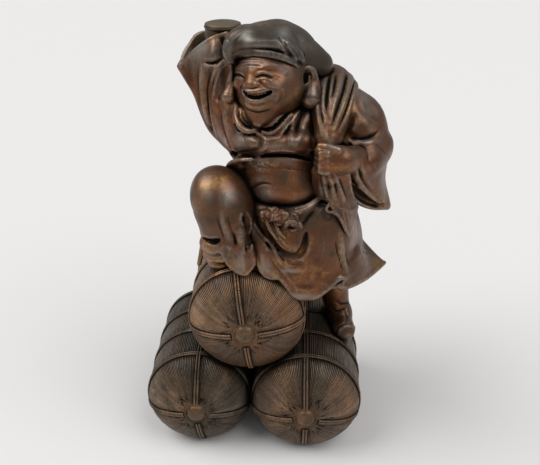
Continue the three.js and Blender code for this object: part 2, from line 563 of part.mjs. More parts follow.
function modelCap(clay) {
  clay.add(egg([10.8, 0, 140.2], [23.2, 25, 8.8], [0, 3, 0]), 3);
  clay.add(limb([[20, 3, 133.5], [30, 4, 127.6], [37.5, 4, 122.6], [41.5, 5, 121]], [13.2, 12.4, 11, 9.2]), 6);
  clay.add(egg([14, 20, 126], [26, 18, 20]), 6);
  // soft rolls at his right
  clay.add(limb([[-5, -10, 145], [-10, -12, 140], [-11, -13, 135], [-9, -14, 130]], [6.2, 6.4, 6, 4]), 3);
  clay.carve(limb([[-6, -18, 146], [-10.5, -20, 140], [-11, -20.5, 134], [-9, -19, 129]], [1, 1.6, 1.6, 1.2]), 1.2);
  // band across the brow
  clay.add(limb([[-12, -6, 130.5], [-8, -12, 132.5], [-4, -16.5, 134.5], [2, -21.5, 136.5], [9, -24.5, 137.5],
    [17, -26, 136.5], [22, -25.5, 135], [27, -23.5, 132.5], [31, -20, 129], [33, -16, 125.5]],
  [2, 2.4, 2.6, 2.6, 2.6, 2.6, 2.6, 2.4, 2.2, 2]), 1);
  clay.carve(limb([[18, -20, 145], [22, -23, 140], [26, -23, 135.5], [29, -21, 131.5]], [1, 2, 2.2, 1.6]), 1.5);
}

function figureClay() {
  const clay = new Clay([-52, -60, Math.floor(bootSole) - 6], [102, 72, 156], clayCell);
  modelTrunk(clay);
  modelSack(clay);
  modelRightLeg(clay);
  modelLeftLeg(clay);
  modelSkirt(clay);
  modelLeftArm(clay);
  modelRightArm(clay);
  modelMallet(clay);
  modelHead(clay);
  modelCap(clay);
  clay.soften();
  clay.fillSealedHollows();
  return clay;
}

// Whether each edge of a solid lies between just two of its faces, so that it nowhere touches itself.
function edgesArePaired(solid) {
  const { index } = mergeVertices(geometryOf(solid).deleteAttribute('normal'), 1e-4);
  const uses = new Map();
  for (let i = 0; i < index.count; i++) {
    const a = index.getX(i);
    const b = index.getX(i % 3 === 2 ? i - 2 : i + 1);
    const edge = `${Math.min(a, b)},${Math.max(a, b)}`;
    uses.set(edge, (uses.get(edge) ?? 0) + 1);
  }
  return [...uses.values()].every((count) => count === 2);
}

// The figure with the wanted number of triangles, cut to sit on the stack. Its skin is taken at the least depth
// where it nowhere touches itself.
async function figureSolid(seat) {
  const clay = figureClay();
  for (let depth = 0.01; ; depth += 0.02) {
    const skin = clay.skin(depth);
    const spare = skin.attributes.position.count - figureTriangles / 2;
    const light = await new SimplifyModifier().modify(skin, spare);
    const solid = solidOf(light.scale(figureScale, figureScale, figureScale))
      .translate([0, 0, crown]).subtract(seat);
    if (edgesArePaired(solid)) return solid;
  }
}

// The object

const stack = stackSolid();
const figure = await figureSolid(stackSolid(seatGap));

const box = stack.add(figure).boundingBox();
const origin = [-(box.min[0] + box.max[0]) / 2, -(box.min[1] + box.max[1]) / 2, 0];

const bronze = new THREE.MeshStandardMaterial({ color: 0x4a3227, metalness: 0.85, roughness: 0.42 });
const darkBronze = new THREE.MeshStandardMaterial({ color: 0x3a2d24, metalness: 0.85, roughness: 0.5 });

function piece(name, solid, material) {
  const mesh = new THREE.Mesh(geometryOf(solid), material);
  mesh.name = name;
  mesh.position.set(...origin);
  return mesh;
}

const object = new THREE.Group();
object.name = 'daikoku';
object.add(piece('figure', figure, bronze));
object.add(piece('rice_bales', stack, darkBronze));

export default object;
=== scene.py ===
# %% [markdown]
# # A bronze god of good harvests on three rice bales
#
# The real object is a cast bronze about 30 cm tall. A laughing god in a soft cap stands on three bales of
# rice, with a sack over his left shoulder and a mallet in his raised right hand. The metal is patinated
# brown, dark in the hollows and rubbed to gold where hands and cloths have touched it.
#
# The measured model from CAD is loaded first. It stays as the invisible frame, and every piece made here
# stands where its solid stands.

# %% Load the frame
import math

import bmesh
import bpy
import numpy as np
import openvdb
from mathutils import Euler, Matrix, Vector, noise


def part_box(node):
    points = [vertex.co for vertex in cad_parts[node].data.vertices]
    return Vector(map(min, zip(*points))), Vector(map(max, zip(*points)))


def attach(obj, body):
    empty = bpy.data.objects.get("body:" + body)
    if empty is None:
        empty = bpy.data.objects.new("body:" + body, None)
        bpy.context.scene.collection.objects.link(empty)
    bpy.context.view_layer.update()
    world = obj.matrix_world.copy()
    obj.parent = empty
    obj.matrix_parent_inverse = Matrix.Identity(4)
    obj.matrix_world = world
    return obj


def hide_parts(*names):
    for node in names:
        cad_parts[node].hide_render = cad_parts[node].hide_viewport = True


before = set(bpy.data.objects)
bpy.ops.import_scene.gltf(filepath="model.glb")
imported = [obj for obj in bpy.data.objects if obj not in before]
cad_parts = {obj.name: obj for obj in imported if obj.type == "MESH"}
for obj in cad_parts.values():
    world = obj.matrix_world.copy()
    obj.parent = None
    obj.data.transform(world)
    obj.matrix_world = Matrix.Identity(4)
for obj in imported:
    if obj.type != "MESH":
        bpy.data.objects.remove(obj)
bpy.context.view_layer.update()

# %% [markdown]
# ## Where things are
#
# Sizes are in millimetres, as in the CAD, and become metres when a mesh is made. The bales lie along Y,
# one on two, and their radii fix the height of the crown, on which the figure stands. The figure has
# coordinates of its own: X to the viewer's right, Y away, and its height above that crown. The box of the
# CAD bales says where this frame lies in the part.

# %% The stack of bales
metre = 0.001
left_radius = 38.3
right_radius = 39.9
top_radius = 40.4
bale_length = 128.0
dome_depth = 22.0
barrel_taper = 0.035
bale_overlap = 0.6
right_bale_forward = -4.0
top_bale_forward = -0.5
resting_flat = 16.0
hub_radius = 8.5
hub_rise = 1.6
rope_rise = 1.1


def axis_height(radius):
    """Height of the middle of a bale that rests on its flat."""
    return math.sqrt(radius ** 2 - (resting_flat / 2) ** 2)


left_axis = (-left_radius + bale_overlap / 2, 0.0, axis_height(left_radius))
right_axis = (right_radius - bale_overlap / 2, right_bale_forward, axis_height(right_radius))


def rest_on(a, radius_a, b, radius_b, radius):
    """The middle of a round bale that lies in the groove between two others."""
    to_a = radius_a + radius - bale_overlap
    to_b = radius_b + radius - bale_overlap
    dx = b[0] - a[0]
    dz = b[2] - a[2]
    span = math.hypot(dx, dz)
    along = (to_a ** 2 - to_b ** 2 + span ** 2) / (2 * span)
    up = math.sqrt(to_a ** 2 - along ** 2)
    return a[0] + (dx * along - dz * up) / span, a[2] + (dz * along + dx * up) / span


top_x, top_z = rest_on(left_axis, left_radius, right_axis, right_radius, top_radius)
top_axis = (top_x, top_bale_forward, top_z)
crown = top_z + top_radius

bales_low, bales_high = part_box("rice_bales")
stack_middle_x = (left_axis[0] - left_radius - rope_rise + right_axis[0] + right_radius + rope_rise) / 2
stack_middle_y = -2.0
origin = (
    (bales_low[0] + bales_high[0]) / 2 / metre - stack_middle_x,
    (bales_low[1] + bales_high[1]) / 2 / metre - stack_middle_y,
)


def to_part(points):
    """Carries figure coordinates in millimetres to the part's own frame in metres."""
    return (np.asarray(points, float) + (origin[0], origin[1], crown)) * metre


print("Crown of the stack:", round(crown, 2), "mm. Figure's frame lies at", [round(v, 3) for v in origin])

# %% [markdown]
# ## The camera
#
# The photograph was taken from above and in front, with a slight turn. Place, pitch and yaw were found by
# laying the outline of the CAD model over it. The same numbers also say where the line of sight through
# each pixel runs, and that is used below to set folds where the photograph shows them.

# %% Camera
image_width = 540
image_height = 465
focal_pixels = 731.0
camera_place = np.array((30.0, -456.5, 395.5 - crown))
camera_pitch = math.radians(28.2)
camera_yaw = math.radians(-2.26)

look = np.array((
    math.sin(camera_yaw) * math.cos(camera_pitch),
    math.cos(camera_yaw) * math.cos(camera_pitch),
    -math.sin(camera_pitch),
))
to_right = np.array((math.cos(camera_yaw), -math.sin(camera_yaw), 0.0))
to_top = np.cross(to_right, look)

camera_data = bpy.data.cameras.new("camera")
camera_data.sensor_width = 36.0
camera_data.lens = focal_pixels / image_width * camera_data.sensor_width
camera = bpy.data.objects.new("camera", camera_data)
bpy.context.scene.collection.objects.link(camera)
camera.location = to_part([camera_place])[0]
camera.rotation_euler = Vector(-look).to_track_quat("Z", "Y").to_euler()
bpy.context.scene.camera = camera


def sight_lines(pixels):
    """Unit directions of the lines of sight through pixels of the photograph."""
    pixels = np.asarray(pixels, float)
    across = (pixels[:, 0] - image_width / 2) / focal_pixels
    down = (pixels[:, 1] - image_height / 2) / focal_pixels
    lines = look + across[:, None] * to_right - down[:, None] * to_top
    return lines / np.linalg.norm(lines, axis=1)[:, None]


def pixels_of(points):
    """The pixels at which points of the figure's frame are seen."""
    away = points - camera_place
    ahead = away @ look
    across = image_width / 2 + focal_pixels * (away @ to_right) / ahead
    down = image_height / 2 - focal_pixels * (away @ to_top) / ahead
    return across, down


def at(u, v, y):
    """The point seen at pixel (u, v) that lies at depth y."""
    line = sight_lines([(u, v)])[0]
    return camera_place + line * (y - camera_place[1]) / line[1]


def seen(rows):
    """The points of a route. A row holds the pixel at which a point is seen, and its depth y."""
    return [at(u, v, y) for u, v, y in rows]


print("Lens", round(camera_data.lens, 2), "mm; the nose tip lies at", at(250, 84, -36).round(1))

# %% [markdown]
# ## Clay
#
# A bronze like this is first modelled in wax or clay: masses are pressed together, rolls are laid on, and
# grooves are cut with a tool. Spun and extruded meshes can't melt into each other like that, and a mesh
# sculpted by hand can't be written down. So the figure is made as a block of clay on a fine grid. Each
# cell holds its distance to the surface. Adding a shape keeps the smaller distance, with the join
# rounded, and carving keeps the part that lies outside the tool. OpenVDB, which comes with Blender, then
# lays a mesh over the surface.

# %% Shapes that the clay is built from
far = 9.0


def curve(rows, step=2.0):
    """A smooth curve through rows, returned as closer rows. A row is a point and may carry a radius."""
    p = np.asarray(rows, float)
    p = np.vstack([2 * p[0] - p[1], p, 2 * p[-1] - p[-2]])
    closer = []
    for a, b, c, d in zip(p, p[1:], p[2:], p[3:]):
        count = max(1, math.ceil(np.linalg.norm((c - b)[:3]) / step))
        t = (np.arange(count) / count)[:, None]
        closer.append(0.5 * (2 * b + (c - a) * t + (2 * a - 5 * b + 4 * c - d) * t ** 2
                             + (3 * b - a - 3 * c + d) * t ** 3))
    return np.vstack(closer + [p[-2:-1]])


def flat_curve(path, step):
    """A smooth curve through points of a plane."""
    return curve([(u, v, 0) for u, v in path], step)[:, :2]


def turned(degrees):
    """A rotation by three angles, as a matrix."""
    return Euler([math.radians(v) for v in degrees], "XYZ").to_matrix()


def egg(centre, radii, turn=(0, 0, 0)):
    """An ellipsoid, as a shape: a list of (lowest corner, highest corner, distance function)."""
    m = [[float(v) for v in row] for row in turned(turn)]
    cx, cy, cz = [float(v) for v in centre]
    rx, ry, rz = [float(v) for v in radii]
    reach = [math.sqrt(sum((m[k][i] * r) ** 2 for i, r in enumerate((rx, ry, rz)))) for k in range(3)]

    def distance(x, y, z):
        x = x - cx
        y = y - cy
        z = z - cz
        u = (m[0][0] * x + m[1][0] * y + m[2][0] * z) / rx
        v = (m[0][1] * x + m[1][1] * y + m[2][1] * z) / ry
        w = (m[0][2] * x + m[1][2] * y + m[2][2] * z) / rz
        near = np.sqrt(u * u + v * v + w * w)
        steep = np.sqrt((u / rx) ** 2 + (v / ry) ** 2 + (w / rz) ** 2)
        return near * (near - 1) / np.maximum(steep, 1e-6)

    centre = np.array((cx, cy, cz))
    return [(centre - reach, centre + reach, distance)]


def rod(a, b, radius_a, radius_b):
    """A round-ended rod between two points, with a radius at each."""
    ax, ay, az = [float(v) for v in a]
    bx, by, bz = [float(v) for v in np.subtract(b, a)]
    length = max(bx * bx + by * by + bz * bz, 1e-9)
    radius_a = float(radius_a)
    growth = float(radius_b) - radius_a

    def distance(x, y, z):
        x = x - ax
        y = y - ay
        z = z - az
        t = np.clip((x * bx + y * by + z * bz) / length, 0, 1)
        x = x - t * bx
        y = y - t * by
        z = z - t * bz
        return np.sqrt(x * x + y * y + z * z) - radius_a - t * growth

    low = np.minimum(np.subtract(a, radius_a), np.subtract(b, radius_b))
    high = np.maximum(np.add(a, radius_a), np.add(b, radius_b))
    return low, high, distance


def limb(points, radii, step=0):
    """A tube through points, with a radius at each. A step makes it one smooth curve."""
    rows = np.column_stack([np.asarray(points, float), np.broadcast_to(radii, len(points))])
    if step:
        rows = curve(rows, step)
    return [rod(a[:3], b[:3], a[3], b[3]) for a, b in zip(rows, rows[1:])]


print("A curve through 3 points at 2 mm has", len(curve([(0, 0, 0), (10, 0, 5), (20, 0, 0)])), "points")

# %% [markdown]
# Cloth is a sheet through a few rails, such as waist, hips and hem. It is laid with small flat scales, each
# a triangle with a thickness at every corner. The teeth are drums, because their edges are crisp.

# %% Sheets and drums
def scale_of(corners, thick):
    """A flat three-cornered scale of clay. thick is half its thickness at each corner."""
    edges = [rod(corners[i - 1], corners[i], thick[i - 1], thick[i]) for i in (1, 2, 0)]
    low = np.min([edge[0] for edge in edges], axis=0)
    high = np.max([edge[1] for edge in edges], axis=0)
    a = np.asarray(corners[0], float)
    ab = np.subtract(corners[1], a)
    ac = np.subtract(corners[2], a)
    normal = np.cross(ab, ac)
    size = np.linalg.norm(normal)
    if size < 1e-6:
        return edges[:2]
    nx, ny, nz = [float(v) for v in normal / size]
    to_b = [float(v) for v in np.cross(ac, normal) / size ** 2]
    to_c = [float(v) for v in np.cross(normal, ab) / size ** 2]

    def distance(x, y, z):
        nearest = edges[0][2](x, y, z)
        for edge in edges[1:]:
            nearest = np.minimum(nearest, edge[2](x, y, z))
        x = x - float(a[0])
        y = y - float(a[1])
        z = z - float(a[2])
        share_b = x * to_b[0] + y * to_b[1] + z * to_b[2]
        share_c = x * to_c[0] + y * to_c[1] + z * to_c[2]
        inside = (share_b >= 0) & (share_c >= 0) & (share_b + share_c <= 1)
        half = thick[0] + share_b * (thick[1] - thick[0]) + share_c * (thick[2] - thick[0])
        return np.where(inside, np.minimum(nearest, np.abs(x * nx + y * ny + z * nz) - half), nearest)

    return [(low, high, distance)]


def evenly(rows, count):
    """As many rows as count says, at even steps along the given ones."""
    place = np.linspace(0, len(rows) - 1, count)
    return np.column_stack([np.interp(place, np.arange(len(rows)), column) for column in rows.T])


def cloth(rails, thick, step=4.0):
    """A sheet through rails of as many points each. thick is half its thickness on each rail."""
    along = [curve(rail, step) for rail in rails]
    count = max(len(rail) for rail in along)
    even = [np.column_stack([evenly(rail, count), np.full(count, half)])
            for rail, half in zip(along, thick)]
    across = [curve([rail[i] for rail in even], step) for i in range(count)]
    rows = max(len(line) for line in across)
    net = [evenly(line, rows) for line in across]
    scales = []
    for left, right in zip(net, net[1:]):
        for a, b, c, d in zip(left, right, right[1:], left[1:]):
            for corners in ((a, b, d), (b, c, d)):
                scales += scale_of([corner[:3] for corner in corners], [corner[3] for corner in corners])
    return scales


def drum(centre, axis, radius, half, round_edge):
    """A round block with flat ends. half is half its length."""
    c = [float(v) for v in centre]
    a = [float(v) for v in np.divide(axis, np.linalg.norm(axis))]
    reach = math.hypot(radius, half)

    def distance(x, y, z):
        x = x - c[0]
        y = y - c[1]
        z = z - c[2]
        along = x * a[0] + y * a[1] + z * a[2]
        across = np.sqrt(np.maximum(x * x + y * y + z * z - along * along, 0)) - (radius - round_edge)
        past = np.abs(along) - (half - round_edge)
        outside = np.sqrt(np.maximum(across, 0) ** 2 + np.maximum(past, 0) ** 2)
        return np.minimum(np.maximum(across, past), 0) + outside - round_edge

    return [(np.subtract(centre, reach), np.add(centre, reach), distance)]


hem_sample = cloth([[(0, 0, 0), (20, 0, 0)], [(0, 0, 9), (20, 0, 9)]], (1, 1))
print("A sheet of 20 by 9 mm has", len(hem_sample), "scales")

# %% [markdown]
# The block itself is a grid of distances. A shape is pressed on or carved away by comparing distances, cell
# by cell, and only near the shape, so that many small shapes stay quick.

# %% A block of clay
def melted(a, b, blend):
    """The smaller of two distances, with the join rounded over the width of the blend."""
    near = np.maximum(blend - np.abs(a - b), 0)
    return np.minimum(a, b) - near * near / (4 * blend)


class Block:
    """A block of clay on a grid of cells, between its lowest and its highest corner."""

    def __init__(self, low, high, cell):
        self.cell = cell
        self.low = np.array(low, float)
        self.size = np.ceil(np.subtract(high, low) / cell).astype(int) + 1
        self.field = np.full(self.size, far, np.float32)

    def window(self, low, high, margin):
        """The first and last cells of a box with a margin round it."""
        first = np.floor((low - margin - self.low) / self.cell).astype(int)
        last = np.ceil((high + margin - self.low) / self.cell).astype(int) + 1
        return np.clip(first, 0, self.size), np.clip(last, 0, self.size)

    def near(self, shape, margin):
        """The cells near a shape, their number, and for each of its parts its own cells and distances."""
        boxes = [self.window(low, high, margin) for low, high, _ in shape]
        first = np.min([start for start, _ in boxes], axis=0)
        last = np.max([end for _, end in boxes], axis=0)
        parts = []
        for (_, _, distance), (start, end) in zip(shape, boxes):
            axes = [self.low[k] + self.cell * np.arange(start[k], end[k]) for k in range(3)]
            x, y, z = [axis.astype(np.float32) for axis in axes]
            cells = tuple(slice(a, b) for a, b in zip(start - first, end - first))
            parts.append((cells, distance(x[:, None, None], y[None, :, None], z[None, None, :])))
        return tuple(slice(a, b) for a, b in zip(first, last)), last - first, parts

    def distance_to(self, shape, blend):
        """The cells near a shape, and their distances to it."""
        here, size, parts = self.near(shape, blend + 3 * self.cell)
        distances = np.full(size, far, np.float32)
        for cells, to in parts:
            distances[cells] = np.minimum(distances[cells], to)
        return here, distances

    def add(self, shape, blend=3.0):
        """Presses a shape on, and rounds the join over the width of the blend."""
        here, to = self.distance_to(shape, blend)
        self.field[here] = melted(self.field[here], to, blend)

    def build(self, **masses):
        """Presses named masses on, one after the other. Each is a shape and its blend."""
        for shape, blend in masses.values():
            self.add(shape, blend)

    def carve(self, shape, blend=1.5):
        """Takes a shape away, and rounds the edge over the width of the blend."""
        here, to = self.distance_to(shape, blend)
        self.field[here] = -melted(-self.field[here], to, blend)

    def read(self, field, points):
        """Values of a field at points, mixed from the eight cells round each."""
        place = np.clip((points - self.low) / self.cell, 0, self.size - 1.001)
        first = place.astype(int)
        t = place - first
        total = 0
        for corner in np.ndindex(2, 2, 2):
            share = np.prod(np.where(corner, t, 1 - t), axis=1)
            i, j, k = (first + corner).T
            total = total + share * field[i, j, k]
        return total

    def slope(self, field, points):
        """How fast a field grows at points, along each of the three axes."""
        steps = np.eye(3) * 1.5 * self.cell
        return [self.read(field, points + step) - self.read(field, points - step) for step in steps]

    def blurred(self, reach, field):
        """A field averaged over a small block round each cell."""
        n = max(1, round(reach / self.cell))
        for axis in range(3):
            size = field.shape[axis]
            total = np.cumsum(field, axis=axis, dtype=np.float32)
            ends = np.minimum(np.arange(size) + n, size - 1)
            begins = np.maximum(np.arange(size) - n - 1, 0)
            field = (np.take(total, ends, axis) - np.take(total, begins, axis)) / (2 * n + 1)
        return field


sample = Block((-10, -10, -10), (10, 10, 10), 1.0)
sample.add(egg((0, 0, 0), (5, 5, 5)))
print("A ball of 5 mm fills", int((sample.field < 0).sum()), "of", sample.field.size, "cells of 1 mm")

# %% [markdown]
# Folds and features are drawn on the block. A ridge or a groove follows a line that is drawn as it is
# seen, in pixels of the photograph, so it comes out where the photograph shows it. Each point of the line
# slides along its line of sight until it meets the clay.

# %% Drawing on clay
class Clay(Block):
    """A block of clay that can be drawn on."""

    def meet(self, path):
        """Where the lines of sight to a path first meet the clay, and which way its surface faces there."""
        lines = sight_lines(path)
        middle = self.low + self.size * self.cell / 2
        reach = np.linalg.norm(self.size) * self.cell / 2
        begin = np.maximum(((middle - camera_place) * lines).sum(axis=1) - reach, 0)
        steps = np.arange(0, 2 * reach, self.cell * 0.7)
        points = camera_place + lines[:, None] * (begin[:, None] + steps)[:, :, None]
        cells = np.rint((points - self.low) / self.cell).astype(int)
        inside = ((cells >= 0) & (cells < self.size)).all(axis=2)
        i, j, k = np.where(inside[:, :, None], cells, 0).transpose(2, 0, 1)
        values = np.where(inside, self.field[i, j, k], far)
        hit = values < 0
        first = np.where(hit.any(axis=1), hit.argmax(axis=1), values.argmin(axis=1))
        found = points[np.arange(len(points)), first]
        for _ in range(3):
            found = found + lines * np.clip(self.read(self.field, found), -1, 1)[:, None] * 0.8
        slope = np.column_stack(self.slope(self.field, found))
        return found, slope / np.maximum(np.linalg.norm(slope, axis=1), 1e-6)[:, None]

    def on(self, pixel, lift=0.0):
        """The point of the surface that is seen at a pixel, lifted off the clay or sunk into it."""
        points, normals = self.meet([pixel])
        return points[0] + normals[0] * lift

    def drawn(self, path):
        """Surface points under a drawn path, their normals, and their places along it from 0 to 1."""
        points, normals = self.meet(flat_curve(path, 1.5))
        return points, normals, np.linspace(0, 1, len(points))

    def stroke(self, path, width, depth, sharp=False, ends=0.3):
        """Presses the clay in along a drawn path, or raises it where the depth is negative."""
        points, _, share = self.drawn(path)
        full = ends + (1 - ends) * np.clip(np.sin(np.pi * share), 0, 1) ** (0.5 if sharp else 0.8)
        line = [rod(a, b, 0, 0) for a, b in zip(points, points[1:])]
        here, size, parts = self.near(line, width + self.cell)
        pressed = np.zeros(size, np.float32)
        for (cells, to_line), strength in zip(parts, full):
            away = np.clip(to_line / width, 0, 1)
            profile = (1 - away) ** 2 if sharp else (1 - away ** 2) ** 2
            pressed[cells] = np.maximum(pressed[cells], profile * float(strength))
        self.field[here] += pressed * depth

    def strokes(self, rows, **settings):
        """Strokes one after the other. A row is a path, its width and its depth."""
        for path, width, depth in rows:
            self.stroke(path, width, depth, **settings)

    def draw(self, sharp=False, ends=0.3, **lines):
        """Strokes with names, one after the other. Each is a path, its width and its depth."""
        self.strokes(lines.values(), sharp=sharp, ends=ends)

    def lump(self, pixel, radii, rise, blend):
        """Presses a ball of clay on, so deep that it stands out by its rise."""
        self.add(egg(self.on(pixel, rise - min(radii)), radii), blend)

    def cut(self, path, radius, depth, blend=0.6, ends=0.4):
        """Cuts a round gully along a drawn path."""
        points, normals, share = self.drawn(path)
        full = ends + (1 - ends) * np.sqrt(np.clip(np.sin(np.pi * share), 0, 1))
        rows = points + normals * ((radius - depth) * full)[:, None]
        wide = radius * full
        self.carve([rod(*ends_and_radii) for ends_and_radii in zip(rows, rows[1:], wide, wide[1:])], blend)


print("Ways to work clay:", [name for name in (*vars(Block), *vars(Clay)) if not name.startswith("_")])

# %% [markdown]
# ## Patina
#
# Old bronze isn't one colour. Under a thin brown skin the metal shows warm and reddish, dirt and wax make
# the hollows nearly black, dust makes the upper faces grey, with a painted sheen of the lights on them, and
# polish brings out gold on what stands proud. Painted highlights and painted shade, for light and shadow
# that fall on the metal, are mixed in too. All bronze here shares that recipe, so it is one node group with
# its own numbers in each material. It reads the numbers noted on each point, and Object coordinates for its
# blotches, so it stays on the metal from every side.
#
# A recipe of many nodes is hard to read when every link is a line. So a small class adds the nodes to one
# tree and hands back their output sockets, and each step of the recipe becomes one expression.

# %% Wiring of nodes
class Wiring:
    """Adds nodes to one tree. Wherever a step takes a value, it takes another node's output as well."""

    def __init__(self, tree):
        self.tree = tree

    def plug(self, socket, value):
        """Links an input to an output, or sets it to a plain value."""
        if isinstance(value, bpy.types.NodeSocket):
            self.tree.links.new(value, socket)
        else:
            socket.default_value = value

    def node(self, kind, values=(), **settings):
        """A node with its settings and its inputs. It stands to the right of the ones before it."""
        node = self.tree.nodes.new(kind)
        node.location = (180 * len(self.tree.nodes), 0)
        for key, value in settings.items():
            setattr(node, key, value)
        for key, value in dict(values).items():
            self.plug(node.inputs[key], value)
        return node

    def mixed(self, share, a, b):
        """A colour between two others."""
        values = {0: share, 6: a, 7: b}
        return self.node("ShaderNodeMix", values, data_type="RGBA", blend_type="MIX").outputs[2]

    def calc(self, operation, a, b=0.0, clamp=False):
        """The result of one operation on two numbers."""
        return self.node("ShaderNodeMath", {0: a, 1: b}, operation=operation, use_clamp=clamp).outputs[0]

    def plus(self, a, b, clamp=False):
        return self.calc("ADD", a, b, clamp)

    def times(self, a, b):
        return self.calc("MULTIPLY", a, b)

    def larger(self, a, b):
        return self.calc("MAXIMUM", a, b)

    def ramp(self, value, low, high, to_low=0.0, to_high=1.0):
        """Stretches the range from low to high over another range, smoothly."""
        values = {"Value": value, "From Min": low, "From Max": high, "To Min": to_low, "To Max": to_high}
        return self.node("ShaderNodeMapRange", values, interpolation_type="SMOOTHSTEP").outputs["Result"]

    def noise(self, where, scale, detail=3.0, distortion=0.0):
        values = {"Vector": where, "Scale": scale, "Detail": detail, "Distortion": distortion}
        return self.node("ShaderNodeTexNoise", values).outputs["Fac"]

    def note(self, name):
        """A number that is noted on each point of the mesh."""
        return self.node("ShaderNodeAttribute", attribute_name=name).outputs["Fac"]

    def give(self, **values):
        """Ends a group with what it puts out."""
        self.node("NodeGroupOutput", values)


color = "NodeSocketColor"
number = "NodeSocketFloat"


def new_group(name, inputs, outputs):
    """A node group with named inputs and outputs, its wiring, and the sockets of its inputs."""
    group = bpy.data.node_groups.new(name, "ShaderNodeTree")
    for label, kind, value in inputs:
        socket = group.interface.new_socket(label, in_out="INPUT", socket_type=kind)
        socket.default_value = value
    for label, kind in outputs:
        group.interface.new_socket(label, in_out="OUTPUT", socket_type=kind)
    wiring = Wiring(group)
    return group, wiring, wiring.node("NodeGroupInput").outputs


print("The wiring has", len([name for name in vars(Wiring) if not name.startswith("_")]), "kinds of steps")

# %% The patina group
def make_patina_group():
    """The skin of old bronze: brown and red blotches, dust and painted sheen, painted highlights, pale
    rubbed crests, gilt, and dirt and painted shade over all.
    """
    group, wires, given = new_group("patina", [
        ("Brown", color, (0.114, 0.053, 0.025, 1)),
        ("Red", color, (0.180, 0.059, 0.019, 1)),
        ("Dark", color, (0.044, 0.034, 0.023, 1)),
        ("Gold", color, (0.300, 0.170, 0.055, 1)),
        ("Dust", color, (0.190, 0.180, 0.155, 1)),
        ("Pale", color, (0.400, 0.385, 0.345, 1)),
        ("Dirt", color, (0.005, 0.0045, 0.0030, 1)),
        ("Rubbed", number, 0.5),
        ("Dusty", number, 0.4),
        ("Sunk", number, 0.0),
        ("Worn", number, 0.0),
    ], [("Color", color), ("Roughness", number), ("Coat", number), ("Height", number)])
    mixed, plus, times, larger, ramp = wires.mixed, wires.plus, wires.times, wires.larger, wires.ramp
    where = wires.node("ShaderNodeTexCoord").outputs["Object"]
    crest = plus(wires.note("crest"), given["Worn"])
    hollow = plus(wires.note("hollow"), given["Sunk"])
    clouds = wires.noise(where, 24.0, 4.0, 0.8)
    blotches = wires.noise(where, 90.0, 6.0, 0.5)
    specks = wires.noise(where, 420.0, 4.0)
    grain = wires.noise(where, 1100.0, 3.0)

    skin = mixed(ramp(clouds, 0.38, 0.60), given["Brown"], given["Red"])
    skin = mixed(ramp(blotches, 0.46, 0.74, 0.0, 0.70), skin, given["Dark"])
    # Dust on the upper faces, which also paints the sheen that the lights leave on tops.
    sheen_and_dust = times(ramp(wires.note("upward"), 0.2, 0.95), given["Dusty"])
    sheen_and_dust = times(sheen_and_dust, ramp(blotches, 0.25, 0.6, 0.5, 1.0))
    skin = mixed(sheen_and_dust, skin, given["Dust"])
    # Painted highlights: the pale dabs, and the back wall of the sleeve where it catches the light.
    highlight_share = times(larger(wires.note("grey"), wires.note("pale")), ramp(blotches, 0.3, 0.6, 0.45, 1.0))
    skin = mixed(highlight_share, skin, given["Pale"])
    polish = times(ramp(crest, 0.60, 0.95), ramp(specks, 0.35, 0.6, 0.25, 0.7))
    skin = mixed(polish, skin, mixed(0.5, given["Pale"], given["Red"]))
    skin = mixed(ramp(grain, 0.45, 0.68, 0.0, 0.35), skin, given["Dark"])

    patches = times(ramp(clouds, 0.52, 0.64), ramp(blotches, 0.56, 0.44))
    patches = times(patches, ramp(specks, 0.40, 0.58))
    patches = plus(patches, times(polish, ramp(clouds, 0.45, 0.6)))
    gilded = times(wires.note("gold"), ramp(specks, 0.36, 0.62, 0.1, 1.0))
    gilt = plus(times(patches, given["Rubbed"]), gilded, clamp=True)
    skin = mixed(gilt, skin, given["Gold"])

    # Dirt and patina in the hollows, and painted shade deep between parts and under the dark dabs.
    shade_and_dirt = larger(ramp(hollow, 0.04, 0.50), ramp(wires.note("deep"), 0.0, 0.9, 0.0, 0.92))
    shade_and_dirt = larger(shade_and_dirt, times(wires.note("soot"), ramp(blotches, 0.3, 0.65, 1.0, 0.6)))
    skin = mixed(shade_and_dirt, skin, given["Dirt"])

    rough = plus(ramp(blotches, 0.3, 0.7, 0.34, 0.54), times(shade_and_dirt, 0.35))
    rough = plus(rough, times(sheen_and_dust, 0.10))
    rough = wires.calc("SUBTRACT", rough, times(polish, 0.06))
    coat = ramp(shade_and_dirt, 0.0, 0.6, 0.20, 0.0)
    wires.give(Color=skin, Roughness=rough, Coat=coat, Height=plus(times(grain, 0.5), blotches))
    return group


patina = make_patina_group()
print("The patina group has", len(patina.nodes), "nodes")

# %% [markdown]
# The straw of the bales runs from button to button, so its lines depend only on the angle round a bale's
# axis. A Mapping node in each bale's material moves the middle of the pattern to that axis.

# %% The straw group
straw_lines = 180.0


